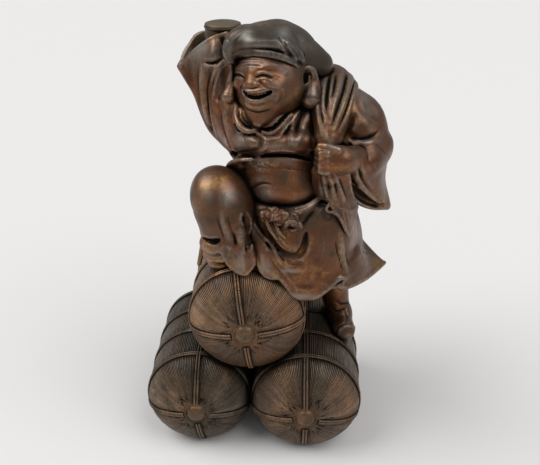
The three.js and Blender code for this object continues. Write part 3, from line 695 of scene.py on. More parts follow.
def make_straw_group():
    """Fine lines of straw round the Y axis: their height, and how much they are sunk and worn."""
    group, wires, given = new_group("straw", [("Place", "NodeSocketVector", (0, 0, 0))],
                                    [("Height", number), ("Sunk", number), ("Worn", number)])
    calc, plus, times = wires.calc, wires.plus, wires.times
    x, y, z = wires.node("ShaderNodeSeparateXYZ", {"Vector": given["Place"]}).outputs
    out = wires.larger(calc("SQRT", plus(calc("POWER", x, 2.0), calc("POWER", z, 2.0))), 0.001)
    around = wires.node("ShaderNodeCombineXYZ", {
        "X": calc("DIVIDE", x, out),
        "Y": times(y, 1.2),
        "Z": calc("DIVIDE", z, out),
    }).outputs[0]
    angle = calc("ARCTAN2", x, z)
    drift = times(wires.noise(around, 4.0, 2.0), 5.0)
    wave = calc("SINE", plus(times(angle, straw_lines), drift))
    coarse = wires.noise(around, 9.0, 3.0)
    fine = wires.noise(around, 34.0, 3.0)
    mask = wires.note("straw")
    lines = plus(plus(times(wave, 0.36), times(fine, 0.8)), 0.1)
    wires.give(Height=times(plus(lines, coarse), mask),
               Sunk=times(wires.ramp(lines, 0.50, 0.15, 0.0, 0.42), mask),
               Worn=times(wires.ramp(lines, 0.50, 0.85, 0.0, 0.40), mask))
    return group


straw = make_straw_group()
print("The straw group has", len(straw.nodes), "nodes")

# %% [markdown]
# Polish, dirt and painted sheen differ from part to part, so there are several bronzes from the same groups:
# the cap is grey with dust and painted sheen, the knee is rubbed, the mallet is dull with its top painted
# ochre as lit, and the lower bales are dark.

# %% Bronzes
def bronze(name, grain=0.35, middle=None, **values):
    """A bronze with the shared patina. With the middle of a bale it has lines of straw too."""
    material = bpy.data.materials.new(name)
    material.use_nodes = True
    wires = Wiring(material.node_tree)
    skin = wires.node("ShaderNodeGroup", node_tree=patina)
    for key, value in values.items():
        skin.inputs[key].default_value = value
    height = skin.outputs["Height"]
    if middle:
        where = wires.node("ShaderNodeTexCoord").outputs["Object"]
        moved = wires.node("ShaderNodeMapping", {"Vector": where, "Location": middle})
        stalks = wires.node("ShaderNodeGroup", node_tree=straw)
        wires.plug(stalks.inputs["Place"], moved.outputs[0])
        wires.plug(skin.inputs["Sunk"], stalks.outputs["Sunk"])
        wires.plug(skin.inputs["Worn"], stalks.outputs["Worn"])
        height = wires.plus(height, wires.times(stalks.outputs["Height"], 2.4))
    bump = wires.node("ShaderNodeBump", {"Height": height, "Distance": 0.0004, "Strength": grain})
    shader = material.node_tree.nodes["Principled BSDF"]
    shader_values = {
        "Base Color": skin.outputs["Color"],
        "Roughness": skin.outputs["Roughness"],
        "Coat Weight": skin.outputs["Coat"],
        "Normal": bump.outputs["Normal"],
        "Metallic": 0.85,
        "Coat Roughness": 0.30,
    }
    for key, value in shader_values.items():
        wires.plug(shader.inputs[key], value)
    return material


def bale_bronze(name, axis, **values):
    """A bronze with straw round the axis of a bale."""
    middle = tuple(-metre * (a + o) for a, o in zip(axis, (*origin, 0)))
    return bronze(name, 0.8, middle, **values)


robe_bronze = bronze("robe_bronze", Dusty=0.25, Rubbed=0.35)
sack_bronze = bronze("sack_bronze", Dusty=0.35, Rubbed=0.45)
face_bronze = bronze("face_bronze", Dusty=0.22, Rubbed=0.25, Brown=(0.112, 0.058, 0.030, 1),
                     Red=(0.195, 0.068, 0.026, 1))
cap_bronze = bronze("cap_bronze", Dusty=0.30, Rubbed=0.2, Brown=(0.078, 0.056, 0.040, 1),
                    Red=(0.105, 0.062, 0.038, 1), Dark=(0.042, 0.034, 0.026, 1))
knee_bronze = bronze("knee_bronze", Dusty=0.20, Rubbed=0.9)
skirt_bronze = bronze("skirt_bronze", Dusty=0.15, Rubbed=0.55)
# The mallet's top is painted ochre, as dust and as the sheen of the lights on it.
mallet_bronze = bronze("mallet_bronze", Dusty=1.0, Rubbed=0.0, Brown=(0.060, 0.042, 0.028, 1),
                       Red=(0.070, 0.046, 0.030, 1), Dust=(0.230, 0.170, 0.090, 1))
left_bronze = bale_bronze("left_bale_bronze", left_axis, Rubbed=0.3, Dusty=0.12,
                          Brown=(0.080, 0.058, 0.033, 1), Red=(0.140, 0.076, 0.040, 1),
                          Dark=(0.036, 0.034, 0.021, 1))
right_bronze = bale_bronze("right_bale_bronze", right_axis, Rubbed=0.4, Dusty=0.12,
                           Brown=(0.122, 0.073, 0.037, 1), Red=(0.170, 0.086, 0.046, 1),
                           Dark=(0.046, 0.038, 0.024, 1))
top_bronze = bale_bronze("top_bale_bronze", top_axis, Rubbed=0.9, Dusty=0.10, Brown=(0.195, 0.110, 0.056, 1),
                         Red=(0.280, 0.130, 0.064, 1))
print("Bronzes:", [material.name for material in bpy.data.materials if material.name.endswith("bronze")])

# %% [markdown]
# ## Casting a block
#
# When a block is finished, a mesh is laid over it. Each point also gets three numbers, read from the
# clay: how far it stands out from what is round it, how deep it lies in a hollow, and how much it faces
# up. The patina needs them, because polish wears off what stands out, dirt and wax stay in the hollows,
# and dust settles on top, where a sheen of the lights is painted too. Small crumbs of clay that hang in
# the air are left out.

# %% From clay to mesh
def largest_body(count, quads):
    """Says which points belong to the largest connected body."""
    label = np.arange(count)
    while True:
        lowest = label[quads].min(axis=1)
        spread = label.copy()
        for column in quads.T:
            np.minimum.at(spread, column, lowest)
        spread = spread[spread]
        if (spread == label).all():
            return label == np.bincount(label).argmax()
        label = spread


def piece_of(name, mesh, material):
    """An object at the origin with a smooth mesh."""
    mesh.shade_smooth()
    mesh.materials.append(material)
    piece = bpy.data.objects.new(name, mesh)
    bpy.context.scene.collection.objects.link(piece)
    return piece


def note(piece, name, values):
    """Writes one number to each point of a mesh, for its material."""
    attribute = piece.data.attributes.new(name, "FLOAT", "POINT")
    attribute.data.foreach_set("value", np.asarray(values, np.float32))


def surface_of(piece):
    """Where the points of a piece lie in the figure's frame, and which way its surface faces there."""
    mesh = piece.data
    places = np.zeros(len(mesh.vertices) * 3)
    normals = np.zeros(len(mesh.vertices) * 3)
    mesh.vertices.foreach_get("co", places)
    mesh.vertices.foreach_get("normal", normals)
    return places.reshape(-1, 3) / metre - (origin[0], origin[1], crown), normals.reshape(-1, 3)


blocks = []


def cast(clay, name, material):
    """Makes a piece of the figure from a block of clay."""
    field = np.clip(clay.field, -4, 4)
    grid = openvdb.FloatGrid(background=4.0)
    grid.copyFromArray(field)
    points, quads = grid.convertToQuads(isovalue=0.0)
    kept = largest_body(len(points), quads)
    quads = quads[kept[quads[:, 0]]]
    number_of = np.cumsum(kept) - 1
    quads = number_of[quads]
    places = clay.low + points[kept] * clay.cell
    corners = places[quads]
    facing = np.cross(corners[:, 1] - corners[:, 0], corners[:, 2] - corners[:, 0])
    if (corners[:, 0] * facing).sum() < 0:
        quads = quads[:, ::-1]
    mesh = bpy.data.meshes.new(name)
    mesh.from_pydata(to_part(places).tolist(), [], quads.tolist())
    piece = piece_of(name, mesh, material)
    fine = clay.read(clay.blurred(0.9, field) - field, places)
    broad = clay.read(clay.blurred(3.2, field) - field, places)
    slope = clay.slope(field, places)
    note(piece, "crest", np.clip(0.5 + fine * 1.4 + broad * 0.35, 0, 1))
    note(piece, "hollow", np.clip(-fine * 1.2 - broad * 0.45, 0, 1))
    note(piece, "upward", slope[2] / np.maximum(np.linalg.norm(slope, axis=0), 1e-6))
    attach(piece, "root")
    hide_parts("figure")
    blocks.append(clay)
    print(name, "has", 2 * len(quads), "triangles")
    return piece


def worked(clay, step):
    """Runs one step of the work on a block, and says how much clay it has then."""
    step(clay)
    volume = int((clay.field < 0).sum()) * clay.cell ** 3 / 1000
    print(step.__name__, "done:", round(volume, 1), "ml of clay")


print("Blocks of clay can be worked and cast")

# %% [markdown]
# ## The robe
#
# The trunk leans over his right leg. The belly is two eggs melted into one smooth bulge, and the jacket
# above it blouses over a narrow waistband. His right arm is lifted, and its sleeve opens upwards round
# the mallet.

# %% Trunk
robe_clay = Clay((-52, -52, 22), (70, 50, 146), 0.85)


def trunk(clay):
    clay.build(
        hips=(egg((22, 6, 30), (30, 26, 28)), 4),
        chest=(egg((14, -3, 79), (27, 28, 24), (0, -6, 0)), 8),
        left_shoulder=(egg((36, 0, 88), (24, 24, 18)), 6),
        upper_belly=(egg((17, -8, 66), (27.5, 29, 20)), 6),
        belly=(egg((22, -11, 52), (27.5, 31.5, 19)), 10),
        back=(egg((20, 22, 60), (30, 18, 44)), 6),
        neck=(limb([(14, -2, 90), (13, -6, 106)], (20, 15)), 4),
        breast=(egg((14, -18, 92), (20, 13, 12)), 4),
        nape=(egg((15, 16, 104), (18, 14, 18)), 5),
        blouse=(limb([(-9, -20, 79), (6, -33, 84), (24, -33, 84), (41, -25, 82)], 6, step=2), 5),
    )


worked(robe_clay, trunk)

# %% Right arm and sleeve
def right_arm(clay):
    arm = limb([(-2, 4, 86), (-14, 8, 104), (-14, 14, 118)], (12, 10.5, 8), step=3)
    clay.add(arm, 5)
    rim = seen([(180.5, 67, 9), (191, 54, 4), (204, 43, 0), (214, 37, -2), (227, 33, -2)])
    forearm = seen([(187, 76, 8), (199, 68, 1), (209, 61, -5), (220, 57, -8), (229, 54, -8)])
    upper_arm = seen([(197, 93, 5), (206, 88, -3), (214, 86, -7), (223, 84, -10), (231, 82, -11)])
    armpit = seen([(207, 117, 2), (213, 117, -7), (221, 115, -14), (229, 112, -18), (236, 110, -19)])
    side = seen([(227, 143, -4), (231, 142, -15), (235, 140, -21), (239, 136, -25), (244, 132, -27)])
    clay.add(cloth([rim, forearm, upper_arm, armpit, side], (1.2, 2.4, 2.6, 2.8, 3)), 3)
    edge = seen([(180.5, 67, 9), (187.5, 76, 9), (195, 88, 8), (201, 99, 6), (204.5, 108, 4),
                 (206.5, 117, 3), (210, 126, 1), (215.5, 133.5, -1), (223, 140, -4), (230, 147, -8),
                 (235, 154, -12)])
    clay.add(limb(edge, (1.4, 1.8, 2, 2.2, 2.2, 2.2, 2.4, 2.4, 2.4, 2.6, 3), step=1.5), 3)
    back_rim = [at(180.5, 65, 9), at(184, 53, 14), at(190.5, 43, 20), at(199, 33.5, 27), (-20, 30, 138)]
    back_middle = [(-33, 12, 103), (-31, 20, 108), (-26, 27, 111), (-18, 30, 112), (-8, 28, 112)]
    back_low = [(-14, 8, 79), (-12, 13, 82), (-9, 18, 86), (-7, 23, 88), (-3, 25, 90)]
    clay.add(cloth([back_rim, back_middle, back_low], (1.2, 2.4, 4)), 3)
    opening = scale_of([(-36, 14, 125), (-23, 17, 142), (-19, 15, 108)], (1.5, 7, 3.5))
    clay.carve(opening, 1.5)


worked(robe_clay, right_arm)

# %% Folds of the sleeve
def sleeve_folds(clay):
    under_wrist = [(204, 62), (211, 63.5), (218, 61.5), (224, 57)]
    clay.draw(
        sleeve_mouth=([(221, 37), (224.5, 46), (226, 56)], 4.5, 3.6),
        mouth_rib=([(215, 41), (213, 50), (213, 59)], 4, -0.8),
    )
    clay.stroke(under_wrist, 3.2, 1.8)
    clay.cut(under_wrist, 0.9, 1.6, 0.4, ends=0.2)
    between = [(224, 63.5), (217.5, 72), (213, 84), (211.3, 98)]
    hollow = [(228, 68), (222.5, 77), (220, 87), (218, 96)]
    panel_line = [(221, 92), (218.5, 101), (220.5, 113), (223, 128), (229, 144), (234, 155)]
    clay.draw(
        outer_gully=([(197.5, 58), (196.5, 74), (198, 90), (201, 104)], 3, 1.5),
        red_roll=([(203, 66), (201.5, 85), (204, 104), (209, 124)], 3.6, -1.5),
        middle_gully=([(211, 70), (207.5, 88), (208, 108), (211, 130)], 3, 2),
        first_lip=([(223, 61), (216, 69), (211, 82), (209.5, 97), (212, 118), (217, 136)], 1.8, -1.4),
        second_lip=([(226, 65), (219.5, 74), (215, 86), (213, 98)], 1.7, -1.3),
    )
    clay.stroke(between, 1.4, 1.2, sharp=True)
    clay.stroke(hollow, 4.5, 3.4)
    clay.stroke(panel_line, 2.2, 1.1, sharp=True)
    clay.draw(
        arm_swell=([(226, 104), (227, 120), (232, 138)], 4, -0.7),
        outer_dent=([(189, 60), (191, 74), (196, 88)], 3, 0.6),
    )
    rim = [(180, 66.5), (191, 53.5), (204, 42.5), (214, 36.5), (225, 33)]
    clay.stroke(rim, 1.3, -0.5, ends=0.8)


worked(robe_clay, sleeve_folds)

# %% Collars
def collars(clay):
    clay.build(
        breast_fold=(egg(at(270, 124, -20), (15, 9, 8)), 3),
        collar_bed=(egg(at(245, 118, -19), (7, 8, 9)), 3),
    )
    left_band = seen([(237, 106, -19), (236, 116, -24), (239.5, 125, -29), (245.5, 130.5, -32),
                      (252, 131.5, -34), (258, 129, -34.5)])
    outer_roll = seen([(256, 132.5, -34.5), (263, 137.5, -36), (272, 138.5, -36), (281, 133, -33),
                       (289, 123, -28), (299, 111, -20)])
    inner_roll = seen([(259, 130, -33.5), (266, 133.2, -34.5), (274, 132, -34), (282, 125, -30),
                       (291, 114, -24)])
    clay.add(limb(left_band, (2, 2.3, 2.3, 2.2, 1.8, 1.2), step=1.5), 1.2)
    clay.add(limb(outer_roll, (1.2, 1.5, 1.6, 1.6, 1.5, 1.2), step=1.5), 0.8)
    clay.add(limb(inner_roll, (0.9, 1.1, 1.2, 1.2, 1), step=1.5), 0.6)
    collar_shadow = [(255, 128), (263, 129.3), (272, 128), (281, 120), (291, 109)]
    clay.cut(collar_shadow, 1.5, 3.2, 0.6, ends=0.3)
    clay.draw(
        ends=0.6,
        left_pleat=([(240.5, 110), (242, 119), (250, 127)], 1.4, -0.6),
        right_pleat=([(244, 111), (246.5, 118), (252.5, 125.5)], 1.4, -0.6),
    )
    gaps = [
        [(238.6, 109), (239.8, 118), (245, 125.5), (252, 129)],
        [(242.3, 110.5), (244, 118.5), (251, 126.5)],
        [(246, 112), (248.5, 118.5), (254, 124.5)],
        [(233.5, 115), (236, 127), (244, 133.8), (253, 134.6), (258, 132.5)],
        [(257, 134.5), (263, 140.7), (272, 142.2), (282, 136.5), (291, 125)],
        [(260, 131.8), (267, 135.5), (275, 134.5), (283, 128), (291, 117)],
    ]
    for gap in gaps:
        clay.stroke(gap, 1.3, 1.3, sharp=True, ends=0.5)


worked(robe_clay, collars)

# %% Folds of the jacket
def jacket_folds(clay):
    rolls = [
        ([(297, 113), (293.5, 123), (291, 133), (290, 142)], 3.2, -1.2),
        ([(309, 110), (305, 122), (300, 133), (296, 143)], 4.2, -1.3),
        ([(256, 156), (261, 151.5), (264.5, 146), (265.5, 141)], 2.6, -1.3),
        ([(262, 153.5), (273, 151), (287, 150.5), (300, 152.5), (311, 156)], 2.2, -0.8),
        ([(233, 120), (235, 134), (240, 146)], 4, -0.6),
    ]
    gullies = [
        ([(303, 112), (299, 124), (296, 136)], 3, 1.3),
        ([(289, 125), (287, 134), (286, 143)], 2.6, 0.8),
        ([(255, 135.5), (260.5, 140), (262, 147)], 3.4, 2.6),
        ([(262, 145), (257, 149.5), (249, 151.5), (240, 152)], 3.2, 1.9),
        ([(312, 106), (313.5, 125), (312.5, 142), (312, 154)], 3.2, 1.6),
        ([(286, 149), (294, 151), (303, 154), (312, 157.5)], 1.5, 1.1),
    ]
    seams = [
        [(243, 134), (244.5, 141), (249.5, 148.5)],
        [(277, 140), (277.5, 146), (275, 151)],
    ]
    clay.strokes(rolls)
    clay.strokes(gullies, sharp=True)
    for seam in seams:
        clay.stroke(seam, 1, 0.8, sharp=True)


worked(robe_clay, jacket_folds)

# %% Waistband
def waistband(clay):
    left_step = [(231, 155.5), (234.5, 153.5), (239, 153.5)]
    clay.cut(left_step, 2.2, 3, 0.6, ends=0.7)
    middle_step = [(237, 157), (246, 155.8), (256, 158)]
    clay.cut(middle_step, 1.2, 1.4, 0.6)
    right_step = [(261, 157.3), (270, 155.5), (284, 155), (298, 157), (312, 160.5)]
    clay.cut(right_step, 1.7, 3.2, 0.5, ends=0.6)
    lip = seen([(227, 168, -24), (229.5, 163.8, -26), (235, 161.3, -29), (243, 159.8, -33),
                (252, 158.8, -35)])
    clay.add(limb(lip, (1.2, 1.4, 1.6, 1.5, 1.1), step=1), 1)
    lip_corner = scale_of(seen([(229.5, 165, -24), (240, 161, -30), (241, 170, -24)]), (1.2, 1.4, 3))
    clay.add(lip_corner, 1.5)
    rim = [(240, 160.8), (252, 159.4), (264, 158.6), (280, 158.2), (298, 160), (313, 163.5)]
    clay.stroke(rim, 1.4, -0.6, ends=0.8)
    clay.draw(
        sharp=True, ends=0.7,
        lower_edge=([(238, 173), (243, 170.2), (250, 169)], 1, 0.9),
        lower_edge_right=([(259, 167.3), (272, 167.3), (288, 168.6), (313, 171.5)], 1, 0.9),
    )


worked(robe_clay, waistband)

# %% Scroll on the waistband
def cloud_scroll(clay):
    """A cluster of small cloud curls on the waistband."""
    curls = ((249.5, 162, 1, 2.2), (254.5, 164.5, -1, 2.6), (260, 162.5, 1, 2.8), (265.5, 164.5, -1, 2.6),
             (271, 162.3, 1, 2.5), (276, 164.2, -1, 2.2), (257.5, 168.8, 1, 2), (263, 169.6, -1, 2),
             (268.5, 168.8, 1, 1.9))
    for u, v, way, size in curls:
        curl = [(u + size * way * math.cos(a) * (1 - a / 9), v + 0.9 * size * math.sin(a) * (1 - a / 9))
                for a in np.linspace(0, 5.4, 7)]
        clay.stroke(curl, 1.1, -1, ends=0.8)
        clay.stroke([(u - 0.3, v), (u + 0.3, v)], 1.1, 0.8, ends=0.9)


worked(robe_clay, cloud_scroll)

# %% Creases of the belly
def belly_creases(clay):
    clay.draw(
        above_smile=([(247, 190), (253, 182.5), (263, 179.5), (272, 180.5)], 3.6, -0.7),
        below_smile=([(255, 193), (264, 190), (276, 192)], 6, -0.7),
    )
    clay.draw(
        sharp=True,
        smile=([(250.5, 197), (251.5, 190.5), (256.5, 185.5), (263.5, 183), (271, 184)], 1.8, 1.3),
        knee_crease=([(302, 207), (308, 202), (315, 199)], 1.8, 1),
    )
    knee_roll = [(303, 210), (309, 205.5), (316, 201.5)]
    clay.stroke(knee_roll, 1.5, -0.7)


worked(robe_clay, belly_creases)

# %% Casting
robe = cast(robe_clay, "robe", robe_bronze)

# %% [markdown]
# The raised sleeve is open at the top, and its back wall, seen from inside, is painted pale: dust, and a
# highlight where it catches the light. Those points are picked by their place and by which way they face.

# %% Dust and painted highlight in the sleeve
places, normals = surface_of(robe)
behind_mallet = np.clip((places[:, 1] - 9) / 6, 0, 1)
right_of_neck = np.clip((-places[:, 0] - 8) / 6, 0, 1)
above_elbow = np.clip((places[:, 2] - 98) / 8, 0, 1)
facing_camera = np.clip(-normals[:, 1] * 3, 0, 1)
# These points are painted pale: dust, and a highlight where the wall catches the light.
dust_and_highlight_in_sleeve = facing_camera * (behind_mallet * right_of_neck) * above_elbow
note(robe, "grey", dust_and_highlight_in_sleeve)
print("Dusty points in the sleeve:", int((dust_and_highlight_in_sleeve > 0.5).sum()))

# %% [markdown]
# ## The sack
#
# The sack of treasures hangs down his back. Its neck comes over his left shoulder and narrows to the
# fist, and its mouth flares again below, with a wavy hem.

# %% Body of the sack
sack_clay = Clay((-20, -50, -2), (80, 70, 126), 0.95)


def sack_body(clay):
    clay.build(
        bag=(egg((24, 41.5, 50), (36, 24.5, 38), (0, -8, 0)), 6),
        neck=(limb([(34, 42, 80), (46, 26, 102), (54, 10, 109), (53, -8, 104), (50, -22, 94),
                    (49, -34, 80)], (20, 14, 11, 9.5, 8, 6), step=3), 4),
        outer_fold=(limb([(62, 14, 106), (63, 2, 106), (60, -12, 98), (54, -28, 86)], (6, 6, 5, 4),
                         step=2), 5),
        inner_fold=(limb([(43, 14, 110), (44, 0, 111), (43, -14, 104), (45, -30, 88)], (6, 5, 5, 3.5),
                         step=2), 5),
    )


worked(sack_clay, sack_body)

# %% Folds at the back
def sack_back_folds(clay):
    turns = (-62, -34, -8, 20, 46, 72)
    lengths = (70, 95, 80, 100, 75, 60)
    for turn, length in zip(turns, lengths):
        fold = []
        for down in (10, 30, 55, length):
            a = math.radians(turn)
            d = math.radians(down)
            x = 30 - 0.1 * down + 35 * math.sin(d) * math.sin(a)
            fold.append((x, 41.5 + 24 * math.sin(d) * math.cos(a), 50 + 38 * math.cos(d)))
        clay.add(limb(fold, (3.6, 3.4, 3, 1.6), step=2), 3)


worked(sack_clay, sack_back_folds)

# %% Mouth of the sack
def sack_mouth(clay):
    neck = seen([(317, 171, -36), (322, 170, -39), (328, 170, -41), (334, 171, -40), (340, 172, -37),
                 (345, 173, -35)])
    middle = seen([(316, 187, -34), (322, 187, -38), (328, 188, -39), (335, 189, -38), (342, 190, -34),
                   (349, 190, -30)])
    hem = seen([(315, 199, -31), (324, 198, -36), (331, 203, -38), (339, 210, -36), (348, 213, -31),
                (356, 206, -23)])
    neck_below_fist = limb([(49, -32, 84), (49, -36, 72), at(330, 176, -40)], (5, 5, 6), step=2)
    clay.add(neck_below_fist, 2)
    clay.add(cloth([neck, middle, hem], (3.6, 2.4, 1.4)), 2)
    flap = seen([(331, 205, -38), (341, 208, -35), (349, 211, -31), (356, 207, -23)])
    tip = seen([(336, 212, -37), (343, 223, -35), (348, 234, -31), (353, 219, -26)])
    clay.add(cloth([flap, tip], (1.6, 1.2), step=3), 1)
    curl = seen([(314, 199, -31), (321, 197.5, -35), (328, 198, -38), (332, 202.5, -39),
                 (327, 206.5, -40), (327, 211, -40), (334, 213, -38), (340, 218, -37), (344, 227, -35),
                 (348, 235.5, -32), (351, 227, -28), (355, 215, -25), (357, 206.5, -22)])
    clay.add(limb(curl, 1.05, step=1), 0.8)


worked(sack_clay, sack_mouth)

# %% Folds of the sack
def sack_folds(clay):
    rolls = [
        ([(326, 73), (322.5, 90), (322.5, 105), (326, 122)], 2.6, -1),
        ([(331.5, 75), (330.5, 92), (328, 109)], 1.8, -0.8),
        ([(343, 71), (338, 88), (333.5, 104), (331, 118)], 2.4, -1),
        ([(352, 72), (348.5, 90), (342.5, 108), (334, 128)], 2.8, -1.2),
        ([(358, 82), (353, 98), (348, 114), (340, 130)], 2.8, -0.9),
        ([(318, 80), (317, 100), (319.5, 122), (325, 138)], 2.6, -0.9),
    ]
    gullies = [
        ([(329.5, 77), (327, 94), (325.5, 112)], 2.4, 2.6),
        ([(336, 73), (334.5, 84), (332, 96)], 2.4, 1.8),
        ([(347, 75), (343.5, 91), (338, 108), (332, 126)], 2.6, 2.6),
        ([(355, 80), (351, 95), (346, 112), (338, 130)], 2, 1.5),
        ([(320.5, 86), (319.5, 102), (322.5, 122)], 2.4, 2.4),
        ([(329, 118), (328.5, 130), (330, 140)], 1.6, 0.9),
    ]
    pleats = [
        ([(320, 173), (320.5, 183), (323, 196)], 1.8, 1),
        ([(325, 172), (328, 184), (330, 198)], 1.8, 1.1),
        ([(331, 172), (334.5, 182), (338, 196), (341, 206)], 2, 1.2),
        ([(337, 173), (342, 186), (347, 198), (352, 206)], 1.8, 1),
        ([(333, 206), (340, 212), (344, 222)], 1.8, 0.9),
        ([(345, 212), (347, 221), (348, 229)], 1.6, 0.7),
    ]
    between = [
        ([(322.5, 173), (324.5, 186), (327, 197)], 1.8, -0.7),
        ([(328, 172), (332, 184), (335, 198)], 1.8, -0.7),
        ([(334, 173), (339, 186), (344, 200)], 2, -0.7),
    ]
    clay.strokes(rolls + between)
    clay.strokes(gullies + pleats, sharp=True)


worked(sack_clay, sack_folds)

# %% Casting
cast(sack_clay, "sack", sack_bronze)

# %% [markdown]
# ## The left arm
#
# His left arm bends at the elbow and the fist holds the neck of the sack. The wide sleeve hangs from the
# forearm in layers and is hollow towards the front.

# %% Left arm and sleeve
arm_clay = Clay((34, -54, 18), (104, 26, 116), 0.7)


def left_arm(clay):
    clay.build(
        upper_arm=(limb([(58, 4, 97), (73.5, 6, 88), (80, 0, 70)], (13, 13, 12), step=3), 5),
        forearm=(limb([(81, -2, 69), (74, -16, 68)], (11.5, 12), step=3), 5),
        sleeve_top=(limb([(60, 0, 97), (66, -8, 87), (73, -5, 80)], (13, 13, 11.5), step=3), 6),
        cuff=(egg((58, -12, 80), (12, 12, 13)), 5),
    )
    top = [(87, 2, 72), (83, -12, 68), (75, -24, 68), (64, -32, 70)]
    middle = seen([(379.5, 177, -1), (374, 176, -13), (363, 174, -23), (353, 169, -30)])
    hem = seen([(388, 205, -2), (382, 203, -8), (371, 196, -16), (360, 185, -25)])
    clay.add(cloth([top, middle, hem], (6, 4, 1.8)), 3)
    under = seen([(344, 176, -30), (350, 191, -26), (358, 202, -21), (372, 207.5, -12), (387, 207.5, -4)])
    inside = [(62, -16, 62), (64, -12, 54), (68, -8, 48), (76, -4, 44), (84, 2, 44)]
    clay.add(cloth([under, inside], (1.6, 5)), 3)
    sleeve_pad = limb(seen([(352, 186, -17), (364, 194, -9), (374, 199, -3)]), (5, 5, 3))
    clay.add(sleeve_pad, 4)


worked(arm_clay, left_arm)

# %% Folds of the left sleeve
def left_sleeve_folds(clay):
    armpit = [(354, 116), (349, 125), (343, 134)]
    elbow = [(340, 137), (350, 138.5), (362, 139), (370, 137), (377, 132)]
    clay.cut(armpit, 2.6, 2, 2.5)
    clay.stroke(elbow, 3.4, 2.2, sharp=True, ends=0.1)
    clay.draw(
        under_elbow=([(345, 134.5), (353, 137)], 4.5, 1.4),
        elbow_roll=([(350, 142), (363, 143), (375, 140), (382, 133)], 3.2, -1),
        shoulder_dent=([(358, 96), (361, 108), (370, 116), (381, 121)], 3.6, 0.6),
        upper_roll=([(364, 120), (370, 128), (375, 133)], 4, -0.7),
        inner_gully=([(343, 145), (349, 156), (352, 168)], 3.4, 1.2),
        cuff_roll=([(343, 142), (349.5, 150), (354, 163), (358, 178), (366, 191)], 2.4, -0.8),
    )
    cuff = [(345, 139.5), (352.5, 148), (357, 160), (361, 177), (369, 189), (381, 201)]
    clay.stroke(cuff, 1.8, 1.9, sharp=True)
    cuff_edge = [(349, 139), (355.5, 147), (360, 159), (364, 175), (372, 187)]
    clay.stroke(cuff_edge, 1.9, -0.7)
    clay.draw(
        sharp=True,
        second=([(359, 143), (366, 154), (373, 171)], 2.2, 1),
        third=([(376, 144), (384, 152), (389, 158)], 2.2, 0.8),
    )
    mouth_gully = [(347, 181), (354, 190), (363, 198), (374, 204), (384, 206)]
    clay.cut(mouth_gully, 3, 4, 1, ends=0.35)
    clay.draw(
        ends=0.8,
        lip=([(342, 172), (351, 180.5), (361, 189), (372, 198), (384, 205.5)], 1.4, -0.7),
        lower_lip=([(346, 186), (352, 196.5), (361, 204), (374, 208)], 1.4, -0.6),
    )


worked(arm_clay, left_sleeve_folds)

# %% Fist
def fist(clay):
    clay.build(
        wrist=(limb([(67, -25, 71), (59, -36, 74)], (8.2, 8.8)), 1.2),
        palm=(egg((53.5, -38, 74.5), (10, 8, 10)), 3),
    )
    for finger in range(4):
        h = 81.2 - 3.9 * finger
        clay.add(limb([(48.5, -44, h), (44.5, -43.8, h + 0.3), (42.5, -39.5, h + 0.5)], (2.3, 2.2, 2)), 2)
    thumb = limb([(55, -42, 83), (48, -41.5, 85.2), (44, -39.5, 85)], (2.4, 2.3, 2))
    clay.add(thumb, 2.4)


worked(arm_clay, fist)

# %% Knuckles
def knuckles(clay):
    for knuckle in range(3):
        row = 150.6 + 5.4 * knuckle
        clay.stroke([(313, row - 0.6), (318, row), (322.5, row - 0.8)], 1.2, 1, sharp=True)


worked(arm_clay, knuckles)

# %% Casting
cast(arm_clay, "left_arm", robe_bronze)

# %% [markdown]
# ## The head
#
# The laughing face is the traditional one of the god of good harvests, with narrowed eyes, ball cheeks,
# an open mouth with a row of teeth, and long ear lobes that promise luck. It is built in a frame of its
# own, tilted and turned to his right, with the face towards -Y.

# %% Head
head_turn = (-12, -12, -22)
head_place = (14, -8, 117)


def on_head(point):
    m = turned(head_turn)
    return np.array(m @ Vector(point)) + head_place


head_clay = Clay((-24, -50, 84), (52, 30, 150), 0.5)


def skull(clay):
    clay.build(
        cranium=(egg(on_head((0, 0, 0)), (23.5, 24, 25), head_turn), 3),
        jaw=(egg(on_head((0, -9, -9)), (18, 15, 13), head_turn), 5),
        chin=(limb(seen([(264, 103, -20), (261, 113, -25), (258.5, 121, -29)]), (14, 9, 4.5)), 6),
    )


worked(head_clay, skull)

# %% Cheeks
def cheeks(clay):
    left_cheek = (236.5, 84)
    right_cheek = (273, 85)
    round_mouth = (256, 95)
    chin = (257, 106)
    clay.lump(left_cheek, (4.4, 4.4, 4.6), 1.9, 1.5)
    clay.lump(right_cheek, (9, 8, 8), 1.9, 4)
    clay.lump(round_mouth, (10, 7, 7), 1.6, 4)
    clay.lump(chin, (8, 6, 5), 1.8, 3)
    clay.draw(
        cheek_top=([(260, 80), (266, 84.5), (273, 87), (282, 87)], 5, -0.6),
        cheek_side=([(278, 90), (280, 96), (276, 102)], 5, -0.35),
    )


worked(head_clay, cheeks)

# %% Nose
def nose(clay):
    bridge = [clay.on((250.5, 71), -2.4), clay.on((250.4, 77), -2.4), clay.on((250, 82), -2.2)]
    clay.add(limb(bridge, (2.7, 3.3, 4.1), step=1), 3)
    left_wing = clay.on((244.3, 84.5), -1.6)
    right_wing = clay.on((256.3, 84), -1.6)
    tip = clay.on((250, 83), -3.4)
    clay.add(egg(tip, (3.4, 3.4, 3), head_turn), 1.5)
    clay.add(egg(left_wing, (2.5, 2.4, 2.1), head_turn), 1)
    clay.add(egg(right_wing, (2.7, 2.4, 2.2), head_turn), 1)


worked(head_clay, nose)

